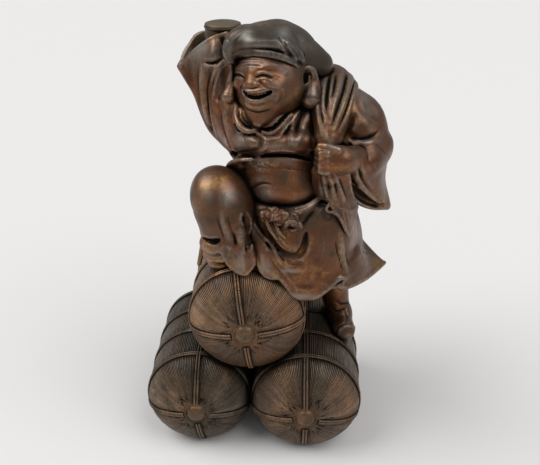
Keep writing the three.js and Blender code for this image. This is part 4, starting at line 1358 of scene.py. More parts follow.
# %% Brows and eyes
def brows_and_eyes(clay):
    clay.draw(
        left_brow=([(231, 72), (237, 68.5), (244, 72)], 3.2, -0.6),
        right_brow=([(255, 72), (263, 68), (273, 66.5), (285, 71.5)], 3.4, -0.6),
    )
    left_slit = [(231.5, 76.5), (235.5, 74.6), (240.5, 75), (244, 77.5)]
    right_slit = [(256.5, 77), (261, 75.2), (266, 75.3), (271, 77.3)]
    left_lid = [(231.5, 74.5), (235.5, 72.4), (240.5, 72.9), (244.5, 75.7)]
    right_lid = [(255.5, 75), (260.5, 72.9), (266.5, 72.9), (272, 75.3)]
    left_pouch = [(232.5, 78.8), (237.5, 77.6), (242.5, 79.4)]
    right_pouch = [(258, 79.5), (264, 78), (270, 79.8)]
    for slit in (left_slit, right_slit):
        clay.stroke(slit, 2.3, 0.4)
    for lid in (left_lid, right_lid):
        clay.stroke(lid, 1.1, -0.7)
    for slit in (left_slit, right_slit):
        clay.stroke(slit, 0.9, 1, sharp=True)
    for pouch in (left_pouch, right_pouch):
        clay.stroke(pouch, 1.2, -0.6)
    crows_feet = [
        [(270.5, 76.5), (275, 78.5), (280, 81.5)],
        [(272, 76), (277, 76.8), (281, 78)],
        [(256, 71), (263, 69.8), (271, 70.8)],
        [(231.5, 72), (237, 70.4), (243, 72.8)],
    ]
    for line in crows_feet:
        clay.stroke(line, 0.9, 0.5, sharp=True)


worked(head_clay, brows_and_eyes)

# %% Lines of the brow
def brow_lines(clay):
    wrinkles = [
        [(235, 60.3), (246, 58.8), (262, 60)],
        [(237, 63), (248, 61.6), (263, 63)],
        [(241, 65.8), (250, 64.8), (261, 66)],
    ]
    for wrinkle in wrinkles:
        clay.stroke(wrinkle, 1.2, 0.55, sharp=True)
        clay.stroke([(u, v + 1.4) for u, v in wrinkle], 1.3, -0.3)
    hairs = 12
    for i in range(hairs):
        share = i / (hairs - 1)
        u = 262 + 22 * share
        v = 69.3 - 3.4 * math.sin(math.pi * share) + 2.5 * share
        clay.stroke([(u - 1.5, v + 1.8), (u, v), (u + 2.5, v - 1.4)], 0.7, 0.3, sharp=True)
    for i in range(6):
        u = 232.5 + 2.0 * i
        v = 69.8 - 1.4 * math.sin(math.pi * i / 5)
        clay.stroke([(u + 1, v + 1.4), (u, v), (u - 1, v - 1.2)], 0.7, 0.25, sharp=True)


worked(head_clay, brow_lines)

# %% Mouth
def mouth(clay):
    upper_lip = [(242, 90.4), (247, 90.8), (253, 91.2), (260, 90.4), (268, 88.8)]
    lower_lip = [(246, 97.6), (251, 100.8), (257, 101.7), (263, 100.2), (269, 96.8)]
    clay.draw(
        sharp=True,
        left_fold=([(242, 85), (239.8, 88), (240, 91)], 1.4, 1),
        right_fold=([(258.5, 80.5), (263, 85), (269, 88.6), (277, 90.2)], 1.8, 1.2),
        under_nose=([(242.5, 87.3), (248, 88.6), (253, 88.5), (258, 86.8)], 1.2, 0.8),
    )
    clay.stroke(upper_lip, 1.5, -0.5, ends=0.6)
    clay.stroke(lower_lip, 1.7, -0.7, ends=0.5)
    opening = [(242.5, 91.8), (247, 94.6), (252, 96.6), (258, 96.8), (264, 95.3), (271, 92)]
    clay.cut(opening, 2, 3.4, 0.4, ends=0.45)
    right_corner = [(264, 96.5), (268.5, 94.5), (271.5, 91.8)]
    clay.cut(right_corner, 1.7, 2.6, 0.5, ends=0.5)
    smile_line = [(275, 88.5), (280, 92), (281.5, 98), (277.5, 104)]
    clay.stroke(smile_line, 2.2, 0.6)
    teeth = [(247.8, 93.2), (251, 94.2), (254.4, 94.9), (257.9, 94.9), (261.3, 94.3), (264.6, 93.2)]
    for u, v in teeth:
        gum = clay.on((u, v - 2.6), -1)
        clay.add(drum(gum + (0, 1.2, -1.9), (0.1, 0.2, 1), 1, 0.9, 0.4), 0.2)
    under_lip = [(250, 103.2), (256, 104.3), (263, 102.8)]
    clay.stroke(under_lip, 1.6, 0.5)
    chin_line = [(244, 107), (250, 110.8), (259, 112.2), (269, 110.5)]
    clay.stroke(chin_line, 1.4, 0.8, sharp=True)


worked(head_clay, mouth)

# %% Beard
def beard(clay):
    beard_body = [(258, 114), (258.5, 119), (258, 125)]
    clay.stroke(beard_body, 5.5, -0.6, ends=0.5)
    hairs = 10
    for i in range(hairs):
        share = i / (hairs - 1)
        top = (250.5 + 16 * share, 114.5)
        foot = (255.5 + 6 * share, 124.5 - 3 * abs(share - 0.4))
        clay.stroke([top, ((top[0] + foot[0]) / 2, 118.5), foot], 0.7, 0.3, sharp=True)


worked(head_clay, beard)

# %% Ear on the right
def right_hand_ear(clay):
    ear = egg(at(308, 79, -12), (5.6, 5.2, 8.8), (0, 12, 0))
    clay.add(ear, 1.5)
    rim = seen([(301.3, 76, -17.5), (303.3, 70, -16.5), (308, 67.5, -14.5), (312.5, 70.5, -13.5),
                (315.3, 77, -13.5), (316.5, 85, -14.5), (316, 92, -15.5)])
    clay.add(limb(rim, (1.1, 1.3, 1.5, 1.6, 1.8, 2.2, 3), step=1), 0.8)
    front_of_ear = egg(at(301.5, 80, -14.5), (2.4, 3, 5))
    clay.add(front_of_ear, 1.5)
    ear_hollow = egg(at(307.4, 78, -18.2), (3.5, 3.8, 5.4), (0, 12, 0))
    clay.carve(ear_hollow, 0.8)
    clay.build(
        inner_rim=(limb(seen([(304, 85.5, -18.5), (308, 83, -16.5), (309, 77, -15)]), 1, step=1), 0.8),
        lobe=(limb(seen([(312.5, 84, -15), (311.5, 91, -16), (310.5, 98.5, -17)]), (2.4, 4.6, 6.6),
                   step=1), 1.5),
    )


worked(head_clay, right_hand_ear)

# %% Ear on the left
def left_hand_ear(clay):
    lobe = limb(seen([(233, 83, -12), (231, 89, -15), (229, 96.3, -17)]), (1.8, 3.2, 4.7), step=1)
    clay.add(lobe, 1)


worked(head_clay, left_hand_ear)

# %% Casting
cast(head_clay, "head", face_bronze)

# %% [markdown]
# ## The cap
#
# A soft round cap, pulled in by a band across the brow. It puffs out over the band and droops to his
# left.

# %% Body of the cap
cap_clay = Clay((-28, -46, 100), (70, 46, 154), 0.7)


def cap_body(clay):
    clay.build(
        dome=(egg((10.8, 3.5, 138.8), (23.2, 22, 8.6), (0, 3, 0)), 3),
        right_slope=(limb(seen([(278, 45, 2), (291, 52, 3), (304, 59, 4), (318, 65.2, 5)]),
                          (15, 14.8, 13, 9.7), step=2), 8),
        back=(egg((14, 20, 126), (26, 18, 20)), 6),
        front_puff=(egg(at(255, 37, -8), (13, 10, 6)), 6),
        band_puff=(egg(at(263, 42.5, -12), (17, 8.5, 5.5), (0, 8, 0)), 5),
        under_band=(egg(at(266, 53, -8), (21, 14, 5), (0, 10, 0)), 3),
        left_droop=(limb(seen([(245, 38, -8), (235, 43, -11), (229.5, 51, -12.5), (230.5, 60, -13)]),
                         (6, 5.6, 4.4, 2.8), step=2), 7),
        brow_roll=(limb(seen([(243, 44.5, -14), (255, 43.2, -18.5), (270, 43.8, -21), (281, 46.5, -22)]),
                        (3, 3.4, 3.4, 3), step=2), 7),
        temple_roll=(limb(seen([(281, 43, -14), (290, 51, -17.5), (298, 60, -16.5), (303, 66, -12)]),
                          (5, 4.6, 4, 3), step=2), 6),
    )


worked(cap_clay, cap_body)

# %% Band of the cap
def cap_band(clay):
    top = seen([(232, 55.5, -6), (236, 53.5, -11), (243, 51.8, -16), (252, 51, -21), (264, 51.6, -24.5),
                (276, 53.6, -26), (285, 56.2, -25.5), (293, 59.8, -23.5), (299, 64, -20), (303, 68, -16),
                (306, 67, -8)])
    foot = seen([(232, 58.8, -7), (236, 57, -12), (243, 55.4, -17), (252, 54.8, -22), (264, 55.5, -25.5),
                 (276, 57.6, -27), (285, 60.2, -26.5), (293, 63.8, -24.5), (299, 68, -21), (303, 72, -17),
                 (306, 71, -9)])
    clay.add(cloth([top, foot], (1.3, 0.9), step=3), 0.8)
    middle_line = [(238, 55.4), (245, 54), (262, 54), (277, 56.8), (291, 61.8)]
    clay.stroke(middle_line, 1, 0.5, sharp=True)


worked(cap_clay, cap_band)

# %% Folds of the cap
def cap_folds(clay):
    under_puff = [(234, 53.3), (240, 50), (252, 48.6), (266, 49.2), (281, 52.5), (293, 58)]
    clay.stroke(under_puff, 1.6, 1.3, sharp=True, ends=0.6)
    clay.draw(
        top_dent=([(246, 36), (258, 34.5), (272, 36)], 6, 0.8),
        wedge_right=([(284, 39), (290, 47), (295, 55), (299, 61)], 3.4, -1.2),
        wedge_left=([(276, 39), (282, 48), (287.5, 56.5)], 2.4, -0.7),
    )
    wedge = [(279, 37), (285, 45), (290, 54), (296, 61.5)]
    clay.stroke(wedge, 1.8, 1.5, sharp=True, ends=0.7)
    second_fold = [(288, 43), (294.5, 51), (299, 58)]
    clay.stroke(second_fold, 1.8, 0.9, sharp=True)
    temple_cut = [(298, 61), (301, 65), (303, 70)]
    clay.cut(temple_cut, 1.8, 2, 0.8)
    flap = [(300, 51), (303, 56), (303.5, 61)]
    clay.stroke(flap, 2.4, -1.2)
    flap_edge = [(304, 54), (306, 60), (308.5, 67)]
    clay.stroke(flap_edge, 2, 1.2, sharp=True)
    left_gullies = [
        ([(239, 30.5), (231, 38.5), (227.2, 48), (228.3, 58), (231.5, 64)], 1.6, 1),
        ([(243, 34), (236.5, 41), (233, 49), (232.8, 57)], 1.3, 0.6),
    ]
    clay.strokes(left_gullies, sharp=True)


worked(cap_clay, cap_folds)

# %% Casting
cast(cap_clay, "cap", cap_bronze)

# %% [markdown]
# ## The legs
#
# His right leg is lifted, so the trouser makes a smooth dome over the knee and gathers at the shin, where
# a pointed hem falls over the shoe. His left boot stands behind, on the right-hand bale.

# %% Right leg
leg_clay = Clay((-46, -66, -20), (34, 26, 72), 0.8)


def right_leg(clay):
    clay.build(
        thigh=(limb([(14, 0, 28), (-12, -18, 35)], (18, 15)), 4),
        knee=(egg((-16.5, -31, 41), (20.3, 21.5, 26.3), (0, -30, 0)), 4),
        shin=(limb([(-16, -33, 32), (-17.5, -33, 17)], (18.5, 15)), 4),
        calf=(limb(seen([(233, 205, -42), (237, 228, -46), (241, 248, -48)]), (6, 6, 5), step=3), 8),
    )


worked(leg_clay, right_leg)

# %% Gathered hem
def gathered_hem(clay):
    top = seen([(204, 243, -34), (213, 247, -42), (222, 246, -48), (229, 246, -50), (238, 247, -50),
                (249, 246, -46)])
    foot = seen([(204, 247, -36), (213, 251, -44), (222, 251, -49), (229, 263, -51), (242, 273, -51),
                 (253, 263, -47)])
    clay.add(cloth([top, foot], (3, 1.8)), 3)
    edge = seen([(202.5, 241, -32), (206.5, 247.5, -38), (213, 251.5, -44), (220, 250, -49),
                 (225, 246.3, -51), (229.5, 248, -52), (229, 254, -52), (226.5, 260, -51),
                 (231, 267, -51), (238, 271.3, -51), (245, 274.6, -51), (250, 270, -49),
                 (254.5, 262.5, -47), (253.5, 252, -45)])
    clay.add(limb(edge, 1.3, step=1), 1)
    second_top = seen([(205, 251, -33), (214, 253.5, -41), (224, 256, -46)])
    second_foot = seen([(204.5, 256, -33), (213, 260.3, -41), (223, 261, -46)])
    clay.add(cloth([second_top, second_foot], (1.6, 1.3)), 1)
    clay.build(
        ankle=(egg((-20, -28, -1), (10, 14, 6)), 3),
        back_edge=(limb(seen([(203.5, 243, -28), (201, 255, -30), (199, 264, -32)]), (2.2, 1.8, 1.5)), 2),
    )


worked(leg_clay, gathered_hem)

# %% Folds of the leg
def leg_folds(clay):
    hem_gully = [(202.5, 239), (208, 241.3), (213.5, 242), (218.5, 240)]
    clay.cut(hem_gully, 2.4, 3.6, 1, ends=0.5)
    side_gully = [(245, 216), (249, 225), (249.5, 237), (248.5, 250)]
    clay.cut(side_gully, 3.4, 4.6, 1.5)
    rolls = [
        ([(222, 207), (222, 218), (226, 229), (229.5, 240), (229.5, 248)], 4, -0.9),
        ([(239.5, 219), (241.5, 214.5), (245.5, 216), (246.5, 221)], 1.5, -0.7),
        ([(238.5, 230), (241, 236), (240.5, 243)], 4, -0.9),
        ([(242, 252), (243, 262), (243.5, 270)], 2, -0.8),
        ([(204, 236), (211, 237), (218, 237)], 2.4, -0.5),
    ]
    gullies = [
        ([(217.5, 213), (219, 224), (223.5, 237)], 3, 0.7),
        ([(227, 216), (230, 228), (234, 239), (235.5, 250)], 3, 0.9),
        ([(236, 228.5), (239, 225.5), (244, 227.5)], 1.8, 0.8),
        ([(234.5, 233), (236, 242), (240, 248.5)], 1.8, 0.8),
        ([(192.3, 207), (192.8, 220), (196.5, 231), (203, 239.5)], 1.8, 0.9),
        ([(235, 254), (238, 262), (241, 269)], 2.4, 0.7),
        ([(248, 253), (249, 261), (247.5, 269)], 2.4, 0.6),
    ]
    clay.strokes(rolls)
    clay.strokes(gullies, sharp=True)


worked(leg_clay, leg_folds)

# %% Casting
cast(leg_clay, "right_leg", knee_bronze)

# %% Left boot
foot_x = 67.0
boot_across = foot_x - right_axis[0]
boot_sole = right_axis[2] + math.sqrt(right_radius ** 2 - boot_across ** 2) - crown
boot_clay = Clay((24, -24, -84), (86, 34, 12), 0.85)


def left_boot(clay):
    clay.build(
        leg=(limb([(46, 2, 10), (56, 8, -26), (foot_x - 5, 10, boot_sole + 18)], (20, 13, 9.5), step=3),
             4),
        heel=(limb([(foot_x - 3, 18, boot_sole + 7), (foot_x - 2, 6, boot_sole + 12)], (8.5, 9)), 4),
        foot=(limb([(foot_x - 3, 6, boot_sole + 8), (foot_x, -8, boot_sole + 6)], (8.8, 8.8)), 4),
    )
    toe_rim = [(338, 334.5), (340, 329), (347, 326), (354.5, 327), (357.5, 331)]
    clay.stroke(toe_rim, 1.5, -0.8, ends=0.7)
    over_toe = [(336.5, 335), (338, 327.5), (346, 323.6), (355, 324.5)]
    clay.stroke(over_toe, 1.4, 0.9, sharp=True)
    toe_dent = [(343, 334), (348, 330.5), (353, 332)]
    clay.stroke(toe_dent, 3.8, 0.7)
    wrinkles = [
        [(335, 301), (342, 304), (351, 302)],
        [(331, 308), (337, 311), (346, 308)],
        [(344, 309), (347, 316), (345, 323)],
    ]
    for wrinkle in wrinkles:
        clay.stroke(wrinkle, 2.2, 1, sharp=True)


worked(boot_clay, left_boot)
cast(boot_clay, "left_boot", robe_bronze)

# %% [markdown]
# ## The skirt
#
# Below the belly the robe falls in one wide skirt that swings to his left, with a wavy hem in front and a
# tip that flies out behind. A knotted sash and the two tongues of an apron hang over it.

# %% Body of the skirt
skirt_clay = Clay((-20, -60, -34), (104, 54, 58), 0.9)


def skirt_body(clay):
    clay.build(
        hip=(egg((38, -4, 12), (32, 35, 34)), 6),
        lap=(egg((5, 13, 16), (23, 22, 17)), 5),
    )
    waist = [at(252, 207, -32), at(262, 209, -36), at(276, 211, -38), at(292, 211, -39),
             at(308, 209, -37), at(325, 210, -33), at(341, 213, -25), (61, -2, 27), (66, 8, 26)]
    hips = [at(253, 228, -39), at(263, 236, -42), at(277, 243, -44), at(293, 247, -45), at(310, 248, -44),
            at(327, 247, -40), at(345, 243, -30), (70, -6, 7), (73.5, 7, 5)]
    hem = seen([(260, 262, -44), (266, 274, -47), (279, 277, -48), (288, 289, -47), (301, 297, -46),
                (316, 296, -45), (328, 288, -44), (341, 277, -39), (362, 262, -13)])
    clay.add(cloth([waist, hips, hem], (4, 3.4, 1.8)), 4)
    wing_top = [at(322, 280, -42), at(340, 268, -34), at(357, 254, -18), (69.5, 8, -6)]
    wing_hem = seen([(336, 286, -43), (347, 287, -37), (366, 278.5, -19), (384, 263, 3)])
    clay.add(cloth([wing_top, wing_hem], (3.4, 1.4)), 3)


worked(skirt_clay, skirt_body)

# %% Hem of the skirt
def skirt_hem(clay):
    front = seen([(271, 244, -43), (265, 247.5, -43), (260, 252, -44), (257.3, 259, -45),
                  (259.5, 268, -47), (264, 275, -48), (270, 278, -49), (278, 278, -49), (284, 280, -48),
                  (287, 287, -47), (292, 295.5, -47), (299, 298.5, -46), (308, 299, -45), (317, 297, -45),
                  (324, 291.5, -44), (331, 284.5, -43), (338, 279, -42), (344, 277.2, -41)])
    back = seen([(346, 278, -40), (342, 283, -40), (339.5, 288.5, -40), (348, 287.3, -37),
                 (360, 281.5, -26), (372, 273.5, -13), (382, 265.3, 1.5), (384.6, 262.2, 4)])
    clay.add(limb(front, 1.35, step=1), 1.2)
    clay.add(limb(back, 1.2, step=1), 1)
    corner_cut = [(334, 288), (338.5, 284.5), (343, 280.8)]
    clay.cut(corner_cut, 1.3, 1.6, 0.8)


worked(skirt_clay, skirt_hem)

# %% Back of the skirt
def skirt_back(clay):
    seat = [(66.5, 10, 20), (44, 34, 16), (10, 34, 16), (-10, 20, 20)]
    knees = [(70.5, 9, 0), (49, 36, 0), (14, 38, 8), (-10, 26, 12)]
    hem = [(88, 7, -21), (54, 38, -16), (18, 40, 4), (-8, 30, 6)]
    clay.add(cloth([seat, knees, hem], (5, 4, 2.4)), 4)
    folds = [
        [(60, 20, 24), (72, 20, -16)],
        [(44, 32, 20), (52, 38, -14)],
        [(24, 36, 20), (30, 42, -4)],
    ]
    for fold in folds:
        clay.add(limb(fold, (3, 3.4)), 5)


worked(skirt_clay, skirt_back)

# %% Folds of the skirt
def skirt_folds(clay):
    inner_groove = [(262, 224), (268, 237), (275, 247), (284, 254.5), (294, 257), (301, 252.5), (305, 243),
                    (306.5, 233)]
    outer_lip = [(251.5, 213), (252.5, 222), (257, 230), (264, 238), (270, 243.5), (274, 250), (278, 258),
                 (284, 265.5), (291, 270.5), (299, 271.5), (305, 268), (307, 262)]
    apron_swell = [(280, 230), (286, 241), (293, 247)]
    clay.stroke(apron_swell, 8, -1.2)
    clay.stroke(inner_groove, 4.4, 1.4, ends=0.1)
    channel = [(255, 217), (260, 228), (267.5, 237.5), (275, 247.5), (283, 258), (292, 264.5), (301, 263)]
    lip = limb([clay.on(spot, -1.6) for spot in outer_lip], 1.6, step=1)
    clay.cut(inner_groove, 2.8, 2.6, 1, ends=0.35)
    clay.cut(channel, 3, 2.3, 1.2, ends=0.4)
    clay.add(lip, 0.8)
    edge_line = [(250, 222), (258, 234), (269, 246), (273, 255), (280, 266), (290, 274), (303, 274)]
    clay.stroke(edge_line, 2.2, 1.1, sharp=True)
    apron_pleats = [
        ([(267, 220), (272, 231), (280, 243), (287, 250)], 2.2, 1.3),
        ([(274, 222), (279, 232), (287, 243)], 2, 1.1),
        ([(283, 227), (287, 235), (293, 242)], 1.8, 0.8),
        ([(296, 233), (298, 241), (298, 249)], 1.8, 0.6),
    ]
    gullies = [
        ([(297, 227), (303, 224), (309, 217), (315, 210), (320, 205)], 4, 3.2),
        ([(323, 212), (326, 219), (331, 219), (333, 213)], 4, 0.6),
        ([(269, 251), (271, 260), (277, 268.5), (285, 277)], 2.8, 1.7),
        ([(297, 283), (303, 287), (309, 287.7), (314, 283.5)], 2.2, 1.6),
        ([(282, 277), (289, 283), (294, 290)], 2.4, 1),
        ([(344, 246), (346, 256), (348.5, 266)], 2.6, 0.8),
        ([(335.5, 240), (338, 254), (342, 268)], 2.6, 0.8),
        ([(255, 216), (258, 225), (264, 234)], 2.2, 0.9),
        ([(361.5, 250), (364, 252.5), (366.5, 253)], 2.8, 0.8),
    ]
    rolls = [
        ([(262, 255), (263, 264), (268, 271), (277, 275)], 3.4, -1.3),
        ([(275, 261), (282, 270), (288, 281), (296, 290)], 3.2, -0.8),
        ([(339, 230), (341.5, 248), (345, 266), (347, 275)], 3.8, -1.1),
        ([(318, 230), (322, 250), (326, 268)], 7, -0.7),
        ([(270.5, 220), (276, 231), (284, 243)], 1.8, -0.7),
    ]
    clay.strokes(gullies + apron_pleats, sharp=True)
    clay.strokes(rolls)


worked(skirt_clay, skirt_folds)

# %% Casting
cast(skirt_clay, "skirt", skirt_bronze)

# %% [markdown]
# The sash is tied in front in a knot of small loops. Rolls of clay that wind over each other give it.

# %% Knot of the sash
sash_clay = Clay((-4, -56, 12), (54, -22, 52), 0.4)


def sash(clay):
    belt = seen([(258, 210, -37), (266, 212, -41), (278, 214, -43), (291, 214, -44), (304, 209.5, -42),
                 (312, 205, -39), (319, 199.5, -35)])
    clay.add(limb(belt, (1.2, 2, 2.6, 2.6, 1.6, 1.3, 1), step=1.5), 1)
    upper = seen([(296, 208.5, -42), (306, 205.5, -40.5), (314, 200.5, -37), (319, 196.5, -34)])
    clay.add(limb(upper, 1.1, step=1.5), 0.6)
    bed = seen([(263, 214, -43), (274, 214.5, -45.5), (285, 218, -46.5), (297, 223, -45.5)])
    clay.add(limb(bed, (2.8, 4, 4.4, 3.4), step=1.5), 1.5)
    turns = [
        [(262, 217), (262.5, 211), (268, 208.5), (273, 212), (272, 219), (267, 222), (263.5, 219)],
        [(267, 215), (272, 209.5), (279, 209), (284, 212.5), (281, 218), (275, 218.5)],
        [(274, 222), (276.5, 215.5), (283, 213), (289, 215.5), (288, 222), (282, 225), (277.5, 223)],
        [(284, 219), (289, 214), (295, 215), (298, 220), (294, 224), (288, 222.5)],
        [(285, 227), (290, 222), (297, 221.5), (301, 226), (297, 230), (290, 229.5)],
    ]
    for i, turn in enumerate(turns):
        path = flat_curve(turn, 2.2)
        ring = [clay.on(pixel, -0.6 + 0.8 * math.sin(1.1 * k + 2 * i)) for k, pixel in enumerate(path)]
        clay.add(limb(ring, 1.35, step=0.8), 0.25)
    for tail in ([(266, 219), (270, 229), (277, 239)], [(274, 221), (279, 231), (285, 238)]):
        points = [at(u, v, y) for (u, v), y in zip(tail, (-45, -47.5, -48.5))]
        clay.add(limb(points, (1.4, 1.5, 0.8), step=1), 0.6)


worked(sash_clay, sash)
cast(sash_clay, "sash", robe_bronze)

# %% [markdown]
# ## The mallet
#
# The lucky mallet is the one thing here that is turned, not modelled, so it is spun from its profile: a
# short barrel with flat ends and a hoop near each end. Its handle runs down into the sleeve and isn't
# seen.

# %% Mallet
def spun(outline, axis, steps):
    """A block made by turning an outline once round an axis through the origin."""
    block = bmesh.new()
    points = [block.verts.new(row) for row in outline]
    edges = [block.edges.new(pair) for pair in zip(points, points[1:])]
    bmesh.ops.spin(block, geom=points + edges, cent=(0, 0, 0), axis=axis, angle=math.tau, steps=steps,
                   use_merge=True)
    bmesh.ops.remove_doubles(block, verts=block.verts, dist=0.02)
    return block


def piece_from_block(name, block, middle, material):
    """A piece from a block in millimetres, with its middle at a place of the part in metres."""
    bmesh.ops.recalc_face_normals(block, faces=block.faces)
    place = Matrix.Translation(middle) @ Matrix.Scale(metre, 4)
    bmesh.ops.transform(block, matrix=place, verts=block.verts)
    mesh = bpy.data.meshes.new(name)
    block.to_mesh(mesh)
    block.free()
    piece = piece_of(name, mesh, material)
    note(piece, "upward", surface_of(piece)[1][:, 2])
    return piece


mallet_radius = 12.0
mallet_half = 9.5
hoop_rise = 0.3
mallet_middle = (-19, 18, 136)
to_hoop = [(-1.6, 0.0), (-0.4, 1.0), (hoop_rise, 2.4), (-0.4, 3.8)]
upper_half = [(mallet_radius + out, mallet_half - down) for out, down in to_hoop]
lower_half = [(mallet_radius + out, down - mallet_half) for out, down in reversed(to_hoop)]
profile = [(0, mallet_half), *upper_half, (mallet_radius, 0), *lower_half, (0, -mallet_half)]
outline = curve([(r, 0, z) for r, z in profile], 0.8)
outline[:, 0] = np.maximum(outline[:, 0], 0)
mallet_block = spun(outline, (0, 0, 1), 64)
mallet = piece_from_block("mallet", mallet_block, Vector(to_part([mallet_middle])[0]), mallet_bronze)
note(mallet, "crest", np.full(len(mallet.data.vertices), 0.5))
note(mallet, "hollow", np.zeros(len(mallet.data.vertices)))
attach(mallet, "root")
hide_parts("figure")
print("The mallet's outline has", len(outline), "points and is turned in 64 steps")

# %% [markdown]
# ## The bales
#
# A rice bale is a bundle of straw drawn together at both ends round a button, and roped round and along
# with doubled straw rope. It is round, so its outline is spun about its own axis. The straw lines are far
# finer than a mesh can carry, so they are left to the material, but the swelling between the ropes, the
# pleats round the button and the strands of the ropes are real.

# %% The straw of a bale
half_length = bale_length / 2
body_half = half_length - dome_depth
band_places = [body_half - 2 * body_half * i / 3 for i in range(4)]
cord_radius = 0.95
cord_gap = 0.95


def straw_radius(y, radius):
    """Radius of the bare straw at a distance y from the middle of a bale."""
    in_dome = np.maximum(0, np.abs(y) - body_half) / dome_depth
    dome = np.sqrt(np.maximum(0, 1 - in_dome ** 2))
    return radius * (1 - barrel_taper * (y / half_length) ** 2) * dome


def bale_outline(radius):
    """Half the lengthwise section of a bale, from one button to the other, as points in its XY plane."""
    angles = np.linspace(math.radians(86), 0, 34)
    dome = np.column_stack([straw_radius(body_half + dome_depth * np.sin(angles), radius),
                            body_half + dome_depth * np.sin(angles)])
    dome = dome[dome[:, 0] > hub_radius + 0.6]
    barrel_y = np.linspace(body_half, -body_half, 32)[1:-1]
    barrel = np.column_stack([straw_radius(barrel_y, radius), barrel_y])
    top = half_length + hub_rise
    button = np.array([(0.01, top), (2.0, top - 0.1), (4.0, top - 0.5), (5.6, top - 1.2), (6.7, top - 2.1),
                       (7.3, top - 3.0), (8.0, top - 3.5), (8.8, top - 3.2)])
    ends = np.vstack([button, dome])
    return np.vstack([ends, barrel, ends[::-1] * (1, -1)])


def near_rope(place, rope_angles):
    """How close points of a bale, given round its axis, lie to a rope, from 0 to 1."""
    around = np.arctan2(place[:, 0], place[:, 2])
    out = np.hypot(place[:, 0], place[:, 2])
    away = np.full(len(place), far)
    for y in band_places:
        away = np.minimum(away, np.abs(place[:, 1] - y))
    for angle in rope_angles:
        turn = np.abs((around - math.radians(angle) + math.pi) % math.tau - math.pi)
        away = np.minimum(away, np.where(out > hub_radius, turn * out, far))
    return np.exp(-(away / 3.2) ** 2)


def pleats_at(place, axis):
    """Height of the gathers round a button, from -1 to 0. Each is a crease of its own length and slant."""
    out = np.hypot(place[:, 0], place[:, 2])
    around = np.arctan2(place[:, 0], place[:, 2])
    height = np.zeros(len(place))
    creases = 34
    for i in range(creases):
        odd = np.array(noise.noise_vector(Vector((i * 3.7, axis[0] * 0.1, axis[2] * 0.1))))
        start = hub_radius + 0.8 + 9 * abs(odd[0])
        length = 4 + 12 * abs(odd[1])
        angle = math.tau * (i + 2.5 * odd[2]) / creases
        slant = 0.16 * odd[1]
        turn = (around - angle - slant * (out - start) + math.pi) % math.tau - math.pi
        along = np.clip((out - start) / 1.5, 0, 1) * np.clip((start + length - out) / 3, 0, 1)
        height = np.minimum(height, -np.exp(-(turn * out / 0.5) ** 2) * along)
    return height


def straw_of(axis, radius, rope_angles):
    """The bare straw of a bale, pressed in under its ropes, with clumps of straw and pleats at its ends."""
    block = spun([(x, y, 0) for x, y in bale_outline(radius)], (0, 1, 0), 192)
    place = np.array([point.co for point in block.verts])
    out = np.hypot(place[:, 0], place[:, 2])
    around = np.arctan2(place[:, 0], place[:, 2])
    pressed = near_rope(place, rope_angles)
    straw_here = np.clip((out - hub_radius) / 3, 0, 1)
    end = np.clip((np.abs(place[:, 1]) - body_half) / dome_depth, 0, 1)
    pleats = pleats_at(place, axis)
    clumps = np.array([noise.noise(Vector((math.sin(a) * 5, math.cos(a) * 5, y * 0.03 + axis[0])))
                       for a, y in zip(around, place[:, 1])])
    rise = -0.6 * pressed * straw_here + 0.3 * clumps * straw_here + 0.9 * pleats - 0.35
    scale = 1 + rise / np.maximum(out, 6)
    flat = np.where(end > 0.75, 0.25 * rise, 0)
    moved_y = place[:, 1] + np.sign(place[:, 1]) * flat
    moved = np.column_stack([place[:, 0] * scale, moved_y, place[:, 2] * scale])
    for point, co in zip(block.verts, moved):
        point.co = co
    return block


print("Bands lie at", [round(y, 1) for y in band_places], "mm from the middle of a bale")

# %% [markdown]
# Each rope is two cords side by side, and each cord is two strands twisted together. A curve can do that:
# its section is a small figure of eight, and the tilt of its points winds the section round as it runs
# along. The curve is then made a mesh and added to the bale. The bands round the bale are closed curves.

# %% Ropes of a bale
cord_steps = 180
sunk = 0.25


def poly_curve(name, points, closed=True, tilts=None, section=None):
    """A curve object through points, with a tilt at each and the curve that is its section."""
    data = bpy.data.curves.new(name, "CURVE")
    data.dimensions = "3D"
    data.twist_mode = "MINIMUM"
    line = data.splines.new("POLY")
    line.points.add(len(points) - 1)
    for i, (x, y, z) in enumerate(points):
        line.points[i].co = (x, y, z, 1)
        line.points[i].tilt = tilts[i] if tilts is not None else 0
    line.use_cyclic_u = closed
    if section:
        data.bevel_mode = "OBJECT"
        data.bevel_object = section
        data.use_fill_caps = not closed
    thing = bpy.data.objects.new(name, data)
    bpy.context.scene.collection.objects.link(thing)
    return thing


def cord_section():
    """Two strands side by side, as the section of a cord."""
    sides = 8
    outline = []
    for i in range(sides):
        a = math.tau * i / sides
        reach = cord_radius * (0.90 + 0.10 * math.cos(2 * a))
        outline.append((reach * math.cos(a), reach * math.sin(a), 0))
    return poly_curve("cord_section", outline)


def add_cord(block, path, closed, section, lay=3.8):
    """Adds one twisted cord to a bale. The lay is how far a strand runs in one whole turn."""
    path = np.asarray(path, float)
    steps = np.linalg.norm(np.diff(path, axis=0), axis=1)
    walked = np.concatenate([[0], np.cumsum(steps)])
    length = walked[-1] + (np.linalg.norm(path[0] - path[-1]) if closed else 0)
    half_turns = round(2 * length / lay)
    cord = poly_curve("cord", path, closed, walked / length * half_turns * math.pi, section)
    mesh = bpy.data.meshes.new_from_object(cord.evaluated_get(bpy.context.evaluated_depsgraph_get()))
    block.from_mesh(mesh)
    bpy.data.meshes.remove(mesh)
    data = cord.data
    bpy.data.objects.remove(cord)
    bpy.data.curves.remove(data)


